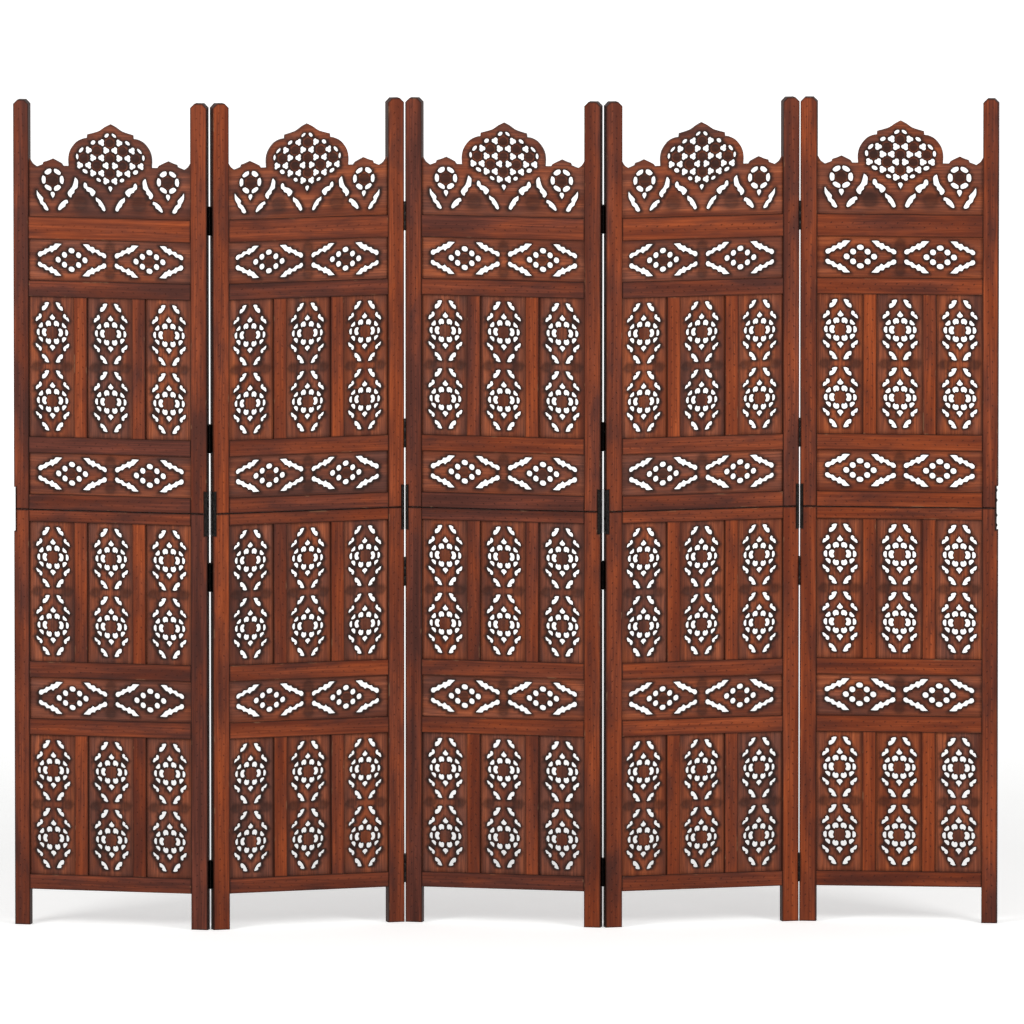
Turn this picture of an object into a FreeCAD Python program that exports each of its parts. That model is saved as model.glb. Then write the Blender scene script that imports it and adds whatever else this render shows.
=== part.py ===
import FreeCAD, Part

import math
import os
import re

# A five-panel folding screen of pierced and carved wood, standing in a shallow zigzag.
#
# Each panel is a lower and an upper frame of stiles and rails, strapped together by a metal plate let into
# each outer edge. The rails end in stub tenons that share the groove which holds the pierced boards. The top
# board of a panel is a crest with an ogee dome between the posts. Leaf hinges join the panels, with their
# barrels on the back at the first and third folds and on the front at the second and fourth, so that the
# screen folds like a fan.
#
# Lengths are millimetres and angles are degrees. X runs along the screen, -Y faces the viewer and Z is up.
# The origin lies on the floor, under the middle of the standing screen. A panel's own X starts at its middle.

DRIVING_DIMENSIONS = {
    # frame of one panel
    "panel_width": 392.0,
    "frame_thickness": 22.0,
    "stile_width": 31.0,
    "muntin_width": 26.8,
    "leg_height": 72.0,
    "bottom_rail_height": 30.0,
    "middle_rail_height": 32.0,
    "lower_joint_rail_height": 23.0,
    "joint_gap": 1.5,
    "upper_joint_rail_height": 30.0,
    "top_rail_height": 44.5,
    "post_rise": 232.0,
    "post_chamfer": 8.5,
    # pierced boards and the grooves that hold them
    "lattice_height": 280.0,
    "frieze_height": 83.0,
    "crest_height": 186.5,
    "crest_edge_height": 115.5,
    "board_thickness": 10.0,
    "board_clearance": 0.1,
    "groove_depth": 6.0,
    "groove_end_clearance": 0.5,
    # plates that strap the two halves of a panel together
    "joint_plate_height": 88.0,
    "joint_plate_thickness": 6.0,
    "joint_plate_proud": 2.5,
    # hinges
    "hinge_gap": 5.4,
    "hinge_axis_proud": 1.6,
    "hinge_height": 58.0,
    "hinge_leaf_reach": 18.0,
    "hinge_leaf_thickness": 1.8,
    "knuckle_clearance": 0.3,
    "pin_radius": 1.3,
    "pin_clearance": 0.05,
    "hinge_floor_height": 80.0,
    "hinge_below_joint": 99.0,
    "hinge_above_joint": 118.5,
    "hinge_post_drop": 206.0,
    # angle of each panel from the X axis as the screen stands
    "panel_angle_1": -12.9,
    "panel_angle_2": 17.6,
    "panel_angle_3": -12.4,
    "panel_angle_4": 14.4,
    "panel_angle_5": -5.3,
}

# Levels are measured up from the floor to a piece's lower edge.
DERIVED_DIMENSIONS = {
    "opening_width": "=panel_width - 2 * stile_width",
    "lattice_width": "=(opening_width - 2 * muntin_width) / 3",
    "groove_width": "=board_thickness + 2 * board_clearance",
    "seat_depth": "=groove_depth - groove_end_clearance",
    "bottom_lattice_level": "=leg_height + bottom_rail_height",
    "low_rail_level": "=bottom_lattice_level + lattice_height",
    "bottom_frieze_level": "=low_rail_level + middle_rail_height",
    "second_rail_level": "=bottom_frieze_level + frieze_height",
    "middle_lattice_level": "=second_rail_level + middle_rail_height",
    "lower_joint_rail_level": "=middle_lattice_level + lattice_height",
    "lower_half_top": "=lower_joint_rail_level + lower_joint_rail_height",
    "upper_half_bottom": "=lower_half_top + joint_gap",
    "middle_frieze_level": "=upper_half_bottom + upper_joint_rail_height",
    "third_rail_level": "=middle_frieze_level + frieze_height",
    "top_lattice_level": "=third_rail_level + middle_rail_height",
    "fourth_rail_level": "=top_lattice_level + lattice_height",
    "top_frieze_level": "=fourth_rail_level + middle_rail_height",
    "top_rail_level": "=top_frieze_level + frieze_height",
    "crest_level": "=top_rail_level + top_rail_height",
    "post_top": "=crest_level + post_rise",
    "crest_groove_top": "=crest_level + crest_edge_height + groove_end_clearance",
    "plate_run": "=(joint_plate_height - joint_gap) / 2",
    "plate_seat_depth": "=joint_plate_thickness - joint_plate_proud",
    "knuckle_radius": "=hinge_gap / 2 - knuckle_clearance",
    "knuckle_length": "=(hinge_height - 2 * knuckle_clearance) / 3",
    "middle_knuckle_level": "=knuckle_length + knuckle_clearance",
    "top_knuckle_level": "=hinge_height - knuckle_length",
    "leaf_start": "=knuckle_radius + knuckle_clearance",
    "hinge_level_1": "=hinge_floor_height",
    "hinge_level_2": "=lower_half_top - hinge_below_joint - hinge_height",
    "hinge_level_3": "=upper_half_bottom + hinge_above_joint",
    "hinge_level_4": "=post_top - hinge_post_drop - hinge_height",
    "hinge_axis_x": "=(panel_width + hinge_gap) / 2",
    "hinge_axis_y": "=frame_thickness / 2 + hinge_axis_proud",
}

PANELS = range(1, 6)
FOLDS = range(1, 5)
HINGE_LEVELS = range(1, 5)
BARREL_SIDES = 6
# middle of the crest's small side arches, as a share of half the opening
ARCH_SHARE = 0.713
UP = FreeCAD.Vector(0, 0, 1)
DIMENSION_NAME = re.compile(r"\b(" + "|".join([*DRIVING_DIMENSIONS, *DERIVED_DIMENSIONS]) + r")\b")

doc = FreeCAD.newDocument("folding_screen")


def make_sheet():
    """Fill the sheet with the driving numbers and the dimensions worked out from them."""
    sheet = doc.addObject("Spreadsheet::Sheet", "dims")
    cells = {**DRIVING_DIMENSIONS, **DERIVED_DIMENSIONS}
    for row, (name, content) in enumerate(cells.items(), start=1):
        sheet.set(f"A{row}", name)
        sheet.set(f"B{row}", str(content))
        sheet.setAlias(f"B{row}", name)
    doc.recompute()
    return {name: float(sheet.get(name)) for name in cells}


DIM = make_sheet()


def bind(target, prop, formula):
    """Tie a property to the sheet. Dimension names in the formula become references to its cells."""
    target.setExpression(prop, DIMENSION_NAME.sub(r"dims.\g<0>", formula))


def box(name, size, corner):
    """Return a box whose size and lower corner are formulas along X, Y and Z."""
    solid = doc.addObject("Part::Box", name)
    for prop, formula in zip(("Length", "Width", "Height"), size):
        bind(solid, prop, formula)
    for axis, formula in zip("xyz", corner):
        bind(solid, "Placement.Base." + axis, formula)
    return solid


def barrel_bar(name, radius, height, level):
    """Return an upright many-sided bar on the Z axis, sized by formulas."""
    bar = doc.addObject("Part::Prism", name)
    bar.Polygon = BARREL_SIDES
    bind(bar, "Circumradius", radius)
    bind(bar, "Height", height)
    bind(bar, "Placement.Base.z", level)
    return bar


def fuse(name, pieces):
    """Join pieces into one solid with no seams between coplanar faces."""
    joined = doc.addObject("Part::MultiFuse", name)
    joined.Shapes = pieces
    joined.Refine = True
    return joined


def cut(name, base, tool):
    """Take a tool away from a base."""
    remainder = doc.addObject("Part::Cut", name)
    remainder.Base = base
    remainder.Tool = tool
    remainder.Refine = True
    return remainder


def flat_point(x, z):
    """Return a point of an upright sketch, whose own Y is the panel's Z."""
    return FreeCAD.Vector(x, z, 0)


def polygon(points):
    """Return the closed outline through points."""
    corners = [flat_point(x, z) for x, z in points]
    return [Part.LineSegment(a, b) for a, b in zip(corners, corners[1:] + corners[:1])]


def rectangle(left, bottom, right, top):
    """Return a rectangular outline."""
    return polygon([(left, bottom), (right, bottom), (right, top), (left, top)])


def mirrored(points):
    """Return points reflected in the panel's middle line."""
    return [(-x, z) for x, z in points]


def moved(points, x, z):
    """Return points shifted along the board."""
    return [(px + x, pz + z) for px, pz in points]


def padded_board(name, outlines, thickness):
    """Return a body padded from one upright sketch, evenly to the front and the back."""
    body = doc.addObject("PartDesign::Body", name)
    sketch = body.newObject("Sketcher::SketchObject", name + "_sketch")
    plane = next(f for f in body.Origin.OriginFeatures if f.Role == "XZ_Plane")
    sketch.AttachmentSupport = (plane, [""])
    sketch.MapMode = "FlatFace"
    sketch.addGeometry(outlines, False)
    pad = body.newObject("PartDesign::Pad", name + "_pad")
    pad.Profile = sketch
    pad.SideType = "Symmetric"
    bind(pad, "Length", thickness)
    return body


def make_lower_stile():
    """Return the left leg post, notched at its top for the joint plate and grooved above the leg."""
    outer = -DIM["panel_width"] / 2
    inner = outer + DIM["stile_width"]
    notch_side = outer + DIM["plate_seat_depth"]
    top = DIM["lower_half_top"]
    notch_level = top - DIM["plate_run"]
    outline = polygon([
        (outer, 0),
        (inner, 0),
        (inner, top),
        (notch_side, top),
        (notch_side, notch_level),
        (outer, notch_level),
    ])
    blank = padded_board("lower_stile_blank", outline, "frame_thickness")
    groove = box(
        "lower_stile_groove",
        ("groove_depth", "groove_width", "lower_half_top - leg_height"),
        ("stile_width - panel_width / 2 - groove_depth", "-groove_width / 2", "leg_height"),
    )
    return cut("lower_stile", blank, groove)


def make_upper_stile():
    """Return the left upper post, chamfered on top, notched at its foot and grooved for the crest."""
    outer = -DIM["panel_width"] / 2
    inner = outer + DIM["stile_width"]
    notch_side = outer + DIM["plate_seat_depth"]
    bottom = DIM["upper_half_bottom"]
    notch_level = bottom + DIM["plate_run"]
    top = DIM["post_top"]
    chamfer = DIM["post_chamfer"]
    outline = polygon([
        (notch_side, bottom),
        (inner, bottom),
        (inner, top - chamfer),
        (inner - chamfer, top),
        (outer + chamfer, top),
        (outer, top - chamfer),
        (outer, notch_level),
        (notch_side, notch_level),
    ])
    blank = padded_board("upper_stile_blank", outline, "frame_thickness")
    groove = box(
        "upper_stile_groove",
        ("groove_depth", "groove_width", "crest_groove_top - upper_half_bottom"),
        ("stile_width - panel_width / 2 - groove_depth", "-groove_width / 2", "upper_half_bottom"),
    )
    return cut("upper_stile", blank, groove)


def make_rail(name, height, groove_below, groove_above):
    """Return a rail at floor level: a web that ends in stub tenons, and cheeks that leave board grooves."""
    below = "groove_depth" if groove_below else "0"
    above = "groove_depth" if groove_above else "0"
    cheek = ("opening_width", "(frame_thickness - groove_width) / 2", height)
    web = box(
        name + "_web",
        ("opening_width + 2 * seat_depth", "groove_width", f"{height} - {below} - {above}"),
        ("-opening_width / 2 - seat_depth", "-groove_width / 2", below),
    )
    front = box(name + "_front_cheek", cheek, ("-opening_width / 2", "-frame_thickness / 2", "0"))
    back = box(name + "_back_cheek", cheek, ("-opening_width / 2", "groove_width / 2", "0"))
    return fuse(name, [web, front, back])


def make_muntin():
    """Return the upright bar between two lattices, at floor level."""
    return box(
        "muntin",
        ("muntin_width", "frame_thickness", "lattice_height"),
        ("-muntin_width / 2", "-frame_thickness / 2", "0"),
    )


def make_joint_plate():
    """Return the plate let into the left edge and proud of it, across the joint of the two halves."""
    return box(
        "joint_plate",
        ("joint_plate_thickness", "frame_thickness", "joint_plate_height"),
        ("-panel_width / 2 - joint_plate_proud", "-frame_thickness / 2", "lower_half_top - plate_run"),
    )


def make_lattice(name, left, right, left_seat):
    """Return a lattice board pierced round two bosses, with its ends in the rails' grooves.

    Its left edge reaches into a groove by left_seat, and its right edge meets a muntin.
    """
    seat = DIM["seat_depth"]
    height = DIM["lattice_height"]
    outer = 0.34 * DIM["lattice_width"]
    inner = 0.28 * outer
    spread = 0.075 * height
    flare = [(inner, 0), (outer, spread), (outer, -spread)]
    outlines = rectangle(left - left_seat, -seat, right, height + seat)
    for share in (0.2575, 0.7425):
        for corners in (flare, mirrored(flare)):
            outlines += polygon(moved(corners, (left + right) / 2, share * height))
    return padded_board(name, outlines, "board_thickness")


def make_frieze():
    """Return the frieze board, pierced by four slanting leaves round each of two bosses."""
    half = DIM["opening_width"] / 2
    seat = DIM["seat_depth"]
    height = DIM["frieze_height"]
    leaf = [(0.125 * half, 0.36 * height), (0.415 * half, 0.165 * height), (0.38 * half, 0.065 * height)]
    low_leaf = [(x, -z) for x, z in leaf]
    outlines = rectangle(-half - seat, -seat, half + seat, height + seat)
    for middle in (-0.482 * half, 0.482 * half):
        for corners in (leaf, low_leaf, mirrored(leaf), mirrored(low_leaf)):
            outlines += polygon(moved(corners, middle, height / 2))
    return padded_board("frieze", outlines, "board_thickness")


def faceted_arc(start, through, end, facets):
    """Return points along the arc through three places, without its end."""
    curve = Part.Arc(flat_point(*start), flat_point(*through), flat_point(*end)).toShape()
    return [(point.x, point.y) for point in curve.discretize(facets + 1)[:-1]]


def crest_edge():
    """Return the crest's top edge from its apex to the right post: ogee, ear, dome, small arch and hollow.

    Places are shares of half the opening and of the crest's height.
    """
    half = DIM["opening_width"] / 2
    height = DIM["crest_height"]

    def place(across, up):
        return (across * half, up * height)

    ear_tip = place(0.282, 0.886)
    dome_side = place(0.515, 0.6225)
    hollow = place(0.914, 0.53)
    post_edge = (half, DIM["crest_edge_height"])
    return [
        *faceted_arc(place(0, 1), place(0.137, 0.927), ear_tip, 3),
        ear_tip,
        *faceted_arc(place(0.286, 0.848), place(0.46, 0.755), dome_side, 4),
        dome_side,
        place(0.511, 0.543),
        place(0.58, 0.543),
        place(0.607, 0.572),
        place(ARCH_SHARE, 0.618),
        place(0.819, 0.582),
        place(0.828, 0.557),
        *faceted_arc(hollow, place(0.965, 0.5635), post_edge, 2),
        post_edge,
    ]


def crest_cuts():
    """Return the cuts of the crest's right half: five leaves, and a pair beside the small arch's boss."""
    shares = [
        [(0.439, 0.435), (0.531, 0.26), (0.47, 0.2135)],
        [(0.527, 0.1845), (0.61, 0.196), (0.635, 0.078)],
        [(0.175, 0.281), (0.22, 0.229), (0.333, 0.3635)],
        [(0.052, 0.084), (0.11, 0.081), (0.16, 0.223)],
        [(0.755, 0.078), (0.81, 0.083), (0.914, 0.287)],
        [(ARCH_SHARE - 0.053, 0.396), (ARCH_SHARE - 0.16, 0.487), (ARCH_SHARE - 0.16, 0.3045)],
        [(ARCH_SHARE + 0.053, 0.396), (ARCH_SHARE + 0.16, 0.487), (ARCH_SHARE + 0.16, 0.3045)],
    ]
    half = DIM["opening_width"] / 2
    height = DIM["crest_height"]
    return [[(across * half, up * height) for across, up in corners] for corners in shares]


def honeycomb_cuts():
    """Return the three-cornered cuts round the dome's middle boss, with ribs between them."""
    ring_across = 0.108 * DIM["opening_width"] / 2
    ring_up = 0.0942 * DIM["crest_height"]
    middle = 0.638 * DIM["crest_height"]
    corner_reach = 0.41
    cuts = []
    for sixth in range(6):
        angle = math.radians(60 * sixth)
        corners = []
        for third in range(3):
            turn = angle + math.radians(120 * third)
            x = ring_across * (math.cos(angle) + corner_reach * math.cos(turn))
            z = ring_up * (math.sin(angle) + corner_reach * math.sin(turn))
            corners.append((x, middle + z))
        cuts.append(corners)
    return cuts


def make_crest():
    """Return the crest board, with its foot in the top rail's groove and its sides in the posts' grooves."""
    seat = DIM["seat_depth"]
    reach = DIM["opening_width"] / 2 + seat
    edge = DIM["crest_edge_height"]
    right_edge = crest_edge()
    left_edge = mirrored(right_edge[1:])[::-1]
    foot = [(reach, edge), (reach, -seat), (-reach, -seat), (-reach, edge)]
    outlines = polygon(right_edge + foot + left_edge)
    for corners in honeycomb_cuts():
        outlines += polygon(corners)
    for corners in crest_cuts():
        outlines += polygon(corners) + polygon(mirrored(corners))
    return padded_board("crest", outlines, "board_thickness")


def make_leaf(name, knuckle_levels, on_right):
    """Return a hinge leaf about its axis: a plate along +Y, tabbed to faceted knuckles."""
    edge = "hinge_gap / 2 - hinge_leaf_thickness" if on_right else "-hinge_gap / 2"
    plate = box(
        name + "_plate",
        ("hinge_leaf_thickness", "hinge_leaf_reach - leaf_start", "hinge_height"),
        (edge, "leaf_start", "0"),
    )
    pieces = [plate]
    for level in knuckle_levels:
        tab_size = ("hinge_leaf_thickness", "leaf_start", "knuckle_length")
        tab = box(f"{name}_tab_{len(pieces)}", tab_size, (edge, "0", level))
        barrel = barrel_bar(f"{name}_barrel_{len(pieces)}", "knuckle_radius", "knuckle_length", level)
        pieces += [tab, barrel]
    bore_radius = f"(pin_radius + pin_clearance) / cos(180 deg / {BARREL_SIDES})"
    bore = barrel_bar(name + "_bore", bore_radius, "hinge_height", "0")
    return cut(name, fuse(name + "_blank", pieces), bore)


def turned(x=0.0, y=0.0, z=0.0, angle=0.0):
    """Return a placement turned about the upright axis and then moved."""
    return FreeCAD.Placement(FreeCAD.Vector(x, y, z), FreeCAD.Rotation(UP, angle))


def link(name, target, placement):
    """Return a placed copy of a piece or group."""
    copy = doc.addObject("App::Link", name)
    copy.LinkedObject = target
    copy.LinkTransform = True
    copy.Placement = placement
    return copy


def group(name, placed_pieces):
    """Return a compound of placed copies, given as pairs of a piece and a placement."""
    compound = doc.addObject("Part::Compound", name)
    compound.Links = [
        link(f"{name}_{index}", piece, placement)
        for index, (piece, placement) in enumerate(placed_pieces, start=1)
    ]
    return compound


def make_panel_groups():
    """Return the groups of pieces that every panel repeats, by the last part of their names."""
    rows = ("bottom", "middle", "top")
    lattice_levels = [DIM[f"{row}_lattice_level"] for row in rows]
    frieze_levels = [DIM[f"{row}_frieze_level"] for row in rows]
    half_turn = 180.0
    half_opening = DIM["opening_width"] / 2
    half_lattice = DIM["lattice_width"] / 2
    muntin_x = half_lattice + DIM["muntin_width"] / 2
    lower_stile = make_lower_stile()
    upper_stile = make_upper_stile()
    bottom_rail = make_rail("bottom_rail", "bottom_rail_height", False, True)
    middle_rail = make_rail("middle_rail", "middle_rail_height", True, True)
    lower_joint_rail = make_rail("lower_joint_rail", "lower_joint_rail_height", True, False)
    upper_joint_rail = make_rail("upper_joint_rail", "upper_joint_rail_height", False, True)
    top_rail = make_rail("top_rail", "top_rail_height", True, True)
    muntin = make_muntin()
    joint_plate = make_joint_plate()
    middle_lattice = make_lattice("middle_lattice", -half_lattice, half_lattice, 0)
    outer_right = DIM["lattice_width"] - half_opening
    outer_lattice = make_lattice("outer_lattice", -half_opening, outer_right, DIM["seat_depth"])
    frieze = make_frieze()
    crest = make_crest()
    lattices = []
    muntins = []
    for level in lattice_levels:
        muntins += [(muntin, turned(x=side * muntin_x, z=level)) for side in (-1, 1)]
        lattices += [(outer_lattice, turned(z=level)), (middle_lattice, turned(z=level))]
        lattices.append((outer_lattice, turned(z=level, angle=half_turn)))
    return {
        "lower_stiles": group("lower_stiles", [(lower_stile, turned(angle=turn)) for turn in (0, half_turn)]),
        "upper_stiles": group("upper_stiles", [(upper_stile, turned(angle=turn)) for turn in (0, half_turn)]),
        "lower_rails": group("lower_rails", [
            (bottom_rail, turned(z=DIM["leg_height"])),
            (middle_rail, turned(z=DIM["low_rail_level"])),
            (middle_rail, turned(z=DIM["second_rail_level"])),
            (lower_joint_rail, turned(z=DIM["lower_joint_rail_level"])),
        ]),
        "upper_rails": group("upper_rails", [
            (upper_joint_rail, turned(z=DIM["upper_half_bottom"])),
            (middle_rail, turned(z=DIM["third_rail_level"])),
            (middle_rail, turned(z=DIM["fourth_rail_level"])),
            (top_rail, turned(z=DIM["top_rail_level"])),
        ]),
        "muntins": group("muntins", muntins),
        "lattices": group("lattices", lattices),
        "friezes": group("friezes", [(frieze, turned(z=level)) for level in frieze_levels]),
        "crest": group("crests", [(crest, turned(z=DIM["crest_level"]))]),
        "joint_plates": group("joint_plates", [(joint_plate, turned(angle=turn)) for turn in (0, half_turn)]),
    }


def make_hinge_groups():
    """Return the stacks of hinge parts along one fold, about the fold's own axis."""
    leaf_with_pin = make_leaf("outer_knuckle_leaf", ("0", "top_knuckle_level"), False)
    leaf_between = make_leaf("middle_knuckle_leaf", ("middle_knuckle_level",), True)
    pin = barrel_bar("pin", "pin_radius", "hinge_height", "0")
    heights = [turned(z=DIM[f"hinge_level_{level}"]) for level in HINGE_LEVELS]
    return {
        "pinned_leaves": group("pinned_leaves", [(leaf_with_pin, height) for height in heights]),
        "turning_leaves": group("turning_leaves", [(leaf_between, height) for height in heights]),
        "pins": group("pins", [(pin, height) for height in heights]),
    }


def barrel_at_back(fold):
    """Tell whether a fold's barrels are on the back. They change sides from fold to fold."""
    return fold % 2 == 1


def axis_in_panel(fold, panel):
    """Return a fold's axis in the frame of one of its two panels, turned to face its barrel side."""
    x = DIM["hinge_axis_x"] if panel == fold else -DIM["hinge_axis_x"]
    if barrel_at_back(fold):
        return turned(x, DIM["hinge_axis_y"], angle=180.0)
    return turned(x, -DIM["hinge_axis_y"])


def standing_places():
    """Return each panel's placement: hinge to hinge at the standing angles, with the plan's middle at 0."""
    places = {}
    start = FreeCAD.Vector(0, 0, 0)
    for panel in PANELS:
        place = turned(angle=DIM[f"panel_angle_{panel}"])
        if panel > 1:
            hinge = axis_in_panel(panel - 1, panel).Base
            start = places[panel - 1].multVec(axis_in_panel(panel - 1, panel - 1).Base) - place.multVec(hinge)
        place.Base = start
        places[panel] = place
    half_width = DIM["panel_width"] / 2 + DIM["joint_plate_proud"]
    half_thickness = DIM["frame_thickness"] / 2
    plan = FreeCAD.BoundBox()
    for place in places.values():
        for x in (-half_width, half_width):
            for y in (-half_thickness, half_thickness):
                plan.add(place.multVec(FreeCAD.Vector(x, y, 0)))
    for place in places.values():
        place.Base = place.Base - plan.Center
    return places


def assemble():
    """Place every group on its panel and return the finished sub-parts, each labelled with its name."""
    places = standing_places()
    nodes = []
    for kind, pieces in make_panel_groups().items():
        for panel in PANELS:
            nodes.append(link(f"panel_{panel}_{kind}", pieces, places[panel]))
    hinges = make_hinge_groups()
    for fold in FOLDS:
        right_side = fold + 1
        pinned, turning = (right_side, fold) if barrel_at_back(fold) else (fold, right_side)
        pinned_place = places[pinned] * axis_in_panel(fold, pinned)
        turning_place = places[turning] * axis_in_panel(fold, turning)
        nodes.append(link(f"hinge_{fold}_pinned_leaves", hinges["pinned_leaves"], pinned_place))
        nodes.append(link(f"hinge_{fold}_turning_leaves", hinges["turning_leaves"], turning_place))
        nodes.append(link(f"hinge_{fold}_pins", hinges["pins"], pinned_place))
    for node in nodes:
        node.Label = node.Name
    return nodes


def check_and_write(nodes):
    """Stop on any failed object or bad shape, then write one STEP file for each sub-part."""
    failed = [o.Label for o in doc.Objects if {"Invalid", "Error"} & set(o.State)]
    if failed:
        raise RuntimeError("failed objects: " + ", ".join(failed))
    os.makedirs("parts", exist_ok=True)
    for node in nodes:
        shape = Part.getShape(node)
        if shape.isNull() or not shape.isValid():
            raise RuntimeError("bad shape: " + node.Label)
        shape.exportStep(f"parts/{node.Label}.step")


sub_parts = assemble()
doc.recompute()
check_and_write(sub_parts)
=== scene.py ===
"""A five-panel folding screen of stained, carved and pierced wood, dressed for rendering.

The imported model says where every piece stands. Each of its nodes is replaced here by a finer surface: boards
with all of their fretwork, bars with eased edges and chip carving, hinges with round knuckles and screws.
Sizes in the classes are millimetres in a panel's own frame: X from the panel's middle to its right, -Y to the
front and Z up from the floor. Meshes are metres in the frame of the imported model.
"""

import logging
import math
from dataclasses import dataclass, field
from enum import Enum

import bpy
import numpy as np
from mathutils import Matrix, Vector
from mathutils.geometry import delaunay_2d_cdt


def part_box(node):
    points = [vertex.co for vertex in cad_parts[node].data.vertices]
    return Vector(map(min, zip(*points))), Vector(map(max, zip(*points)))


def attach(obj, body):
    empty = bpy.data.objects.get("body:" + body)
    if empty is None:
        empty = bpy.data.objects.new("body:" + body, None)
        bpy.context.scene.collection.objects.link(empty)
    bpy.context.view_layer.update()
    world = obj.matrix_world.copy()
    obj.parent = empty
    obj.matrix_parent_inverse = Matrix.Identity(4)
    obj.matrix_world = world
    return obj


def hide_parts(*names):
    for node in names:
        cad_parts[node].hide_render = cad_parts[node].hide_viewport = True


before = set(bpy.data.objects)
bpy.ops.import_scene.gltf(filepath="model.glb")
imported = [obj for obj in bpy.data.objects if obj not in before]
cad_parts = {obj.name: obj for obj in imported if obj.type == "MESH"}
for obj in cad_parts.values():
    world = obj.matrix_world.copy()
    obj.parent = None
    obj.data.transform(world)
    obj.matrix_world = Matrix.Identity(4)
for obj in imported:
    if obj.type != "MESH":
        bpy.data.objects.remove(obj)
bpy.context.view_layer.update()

MM = 0.001
WHITE = "#ffffff"

# Width between a panel's posts, and the lower and upper edges of its rails, in millimetres above the floor.
OPENING_WIDTH = 330.0
LOWER_RAILS = ((72.0, 102.0), (382.0, 414.0), (497.0, 529.0), (809.0, 832.0))
UPPER_RAILS = ((833.5, 863.5), (946.5, 978.5), (1258.5, 1290.5), (1373.5, 1418.0))

# The boards and upright bars stand on the rails and fill the openings between them.
LATTICE_LEVELS = (LOWER_RAILS[0][1], LOWER_RAILS[2][1], UPPER_RAILS[1][1])
LATTICE_HEIGHT = LOWER_RAILS[1][0] - LOWER_RAILS[0][1]
FRIEZE_LEVELS = (LOWER_RAILS[1][1], UPPER_RAILS[0][1], UPPER_RAILS[2][1])
FRIEZE_HEIGHT = LOWER_RAILS[2][0] - LOWER_RAILS[1][1]
CREST_LEVEL = UPPER_RAILS[3][1]

# The panel's two frames meet in the gap between the last lower rail and the first upper one.
LOWER_TOP = LOWER_RAILS[3][1]
UPPER_BOTTOM = UPPER_RAILS[0][0]

# Sockets of the Mix node when it mixes colours.
MIX_SHARE = 0
MIX_FIRST = 6
MIX_SECOND = 7
MIX_RESULT = 2

# Least divisor of a mitre, which keeps sharp corners from running far out.
LEAST_MITRE = 0.55

# Spacing of the rows of a face's inner points and their clearance from its loops, as shares of a cell.
ROW_SHARE = 0.87
CLEAR_SHARE = 0.55

# Starts of the random draws of tone and grain, and how far in metres the grain may be shifted.
TONE_SEED = 100
PANEL_SEED_STEP = 1000
HINGE_SEED = 70
GRAIN_SEEDS = {
    "lattices": 11,
    "friezes": 12,
    "crest": 13,
    "lower_stiles": 21,
    "upper_stiles": 22,
    "lower_rails": 23,
    "upper_rails": 24,
    "muntins": 25,
    "joint_plates": 61,
}
GRAIN_SHIFT = 40.0

Array = np.ndarray
log = logging.getLogger("folding_screen")


class GrainRun(Enum):
    """Way the grain runs in a piece, as the axes along, across and through it."""

    UPRIGHT = (2, 0, 1)
    LEVEL = (0, 2, 1)


class BarrelSide(Enum):
    """Side of the screen on which a fold's hinge barrels stand, as the turn of the hinge in degrees."""

    FRONT = 0.0
    BACK = 180.0


def linear_colour(code: str) -> tuple[float, float, float, float]:
    """Return an sRGB hex colour as linear red, green and blue by the sRGB curve, with full alpha.

    Args:
        code: Colour such as "#6e3a26".

    Returns:
        Linear channels from 0 to 1.
    """
    channels = np.array([int(code[start : start + 2], 16) for start in (1, 3, 5)]) / 255.0
    linear = np.where(channels <= 0.04045, channels / 12.92, ((channels + 0.055) / 1.055) ** 2.4)
    return (float(linear[0]), float(linear[1]), float(linear[2]), 1.0)


def add_node(
    tree: bpy.types.NodeTree, kind: str, inputs: dict[int | str, object] | None = None, **options: object
) -> bpy.types.Node:
    """Add a node, set its options, and fill or link its input sockets.

    Args:
        tree: Node tree that takes the node.
        kind: Blender's name of the node type.
        inputs: Value or output socket for each input, by name or index.
        options: Settings of the node itself.

    Returns:
        The new node.
    """
    node = tree.nodes.new(kind)
    for name, value in options.items():
        setattr(node, name, value)
    for key, value in (inputs or {}).items():
        if isinstance(value, bpy.types.NodeSocket):
            tree.links.new(value, node.inputs[key])
        else:
            node.inputs[key].default_value = value
    return node


def new_material(name: str) -> tuple[bpy.types.Material, bpy.types.NodeTree, bpy.types.Node]:
    """Make a material with an empty node tree and its output.

    Args:
        name: Name of the real material.

    Returns:
        The material, its tree and the output node.
    """
    material = bpy.data.materials.new(name)
    material.use_nodes = True
    tree = material.node_tree
    tree.nodes.clear()
    return material, tree, add_node(tree, "ShaderNodeOutputMaterial")


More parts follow.
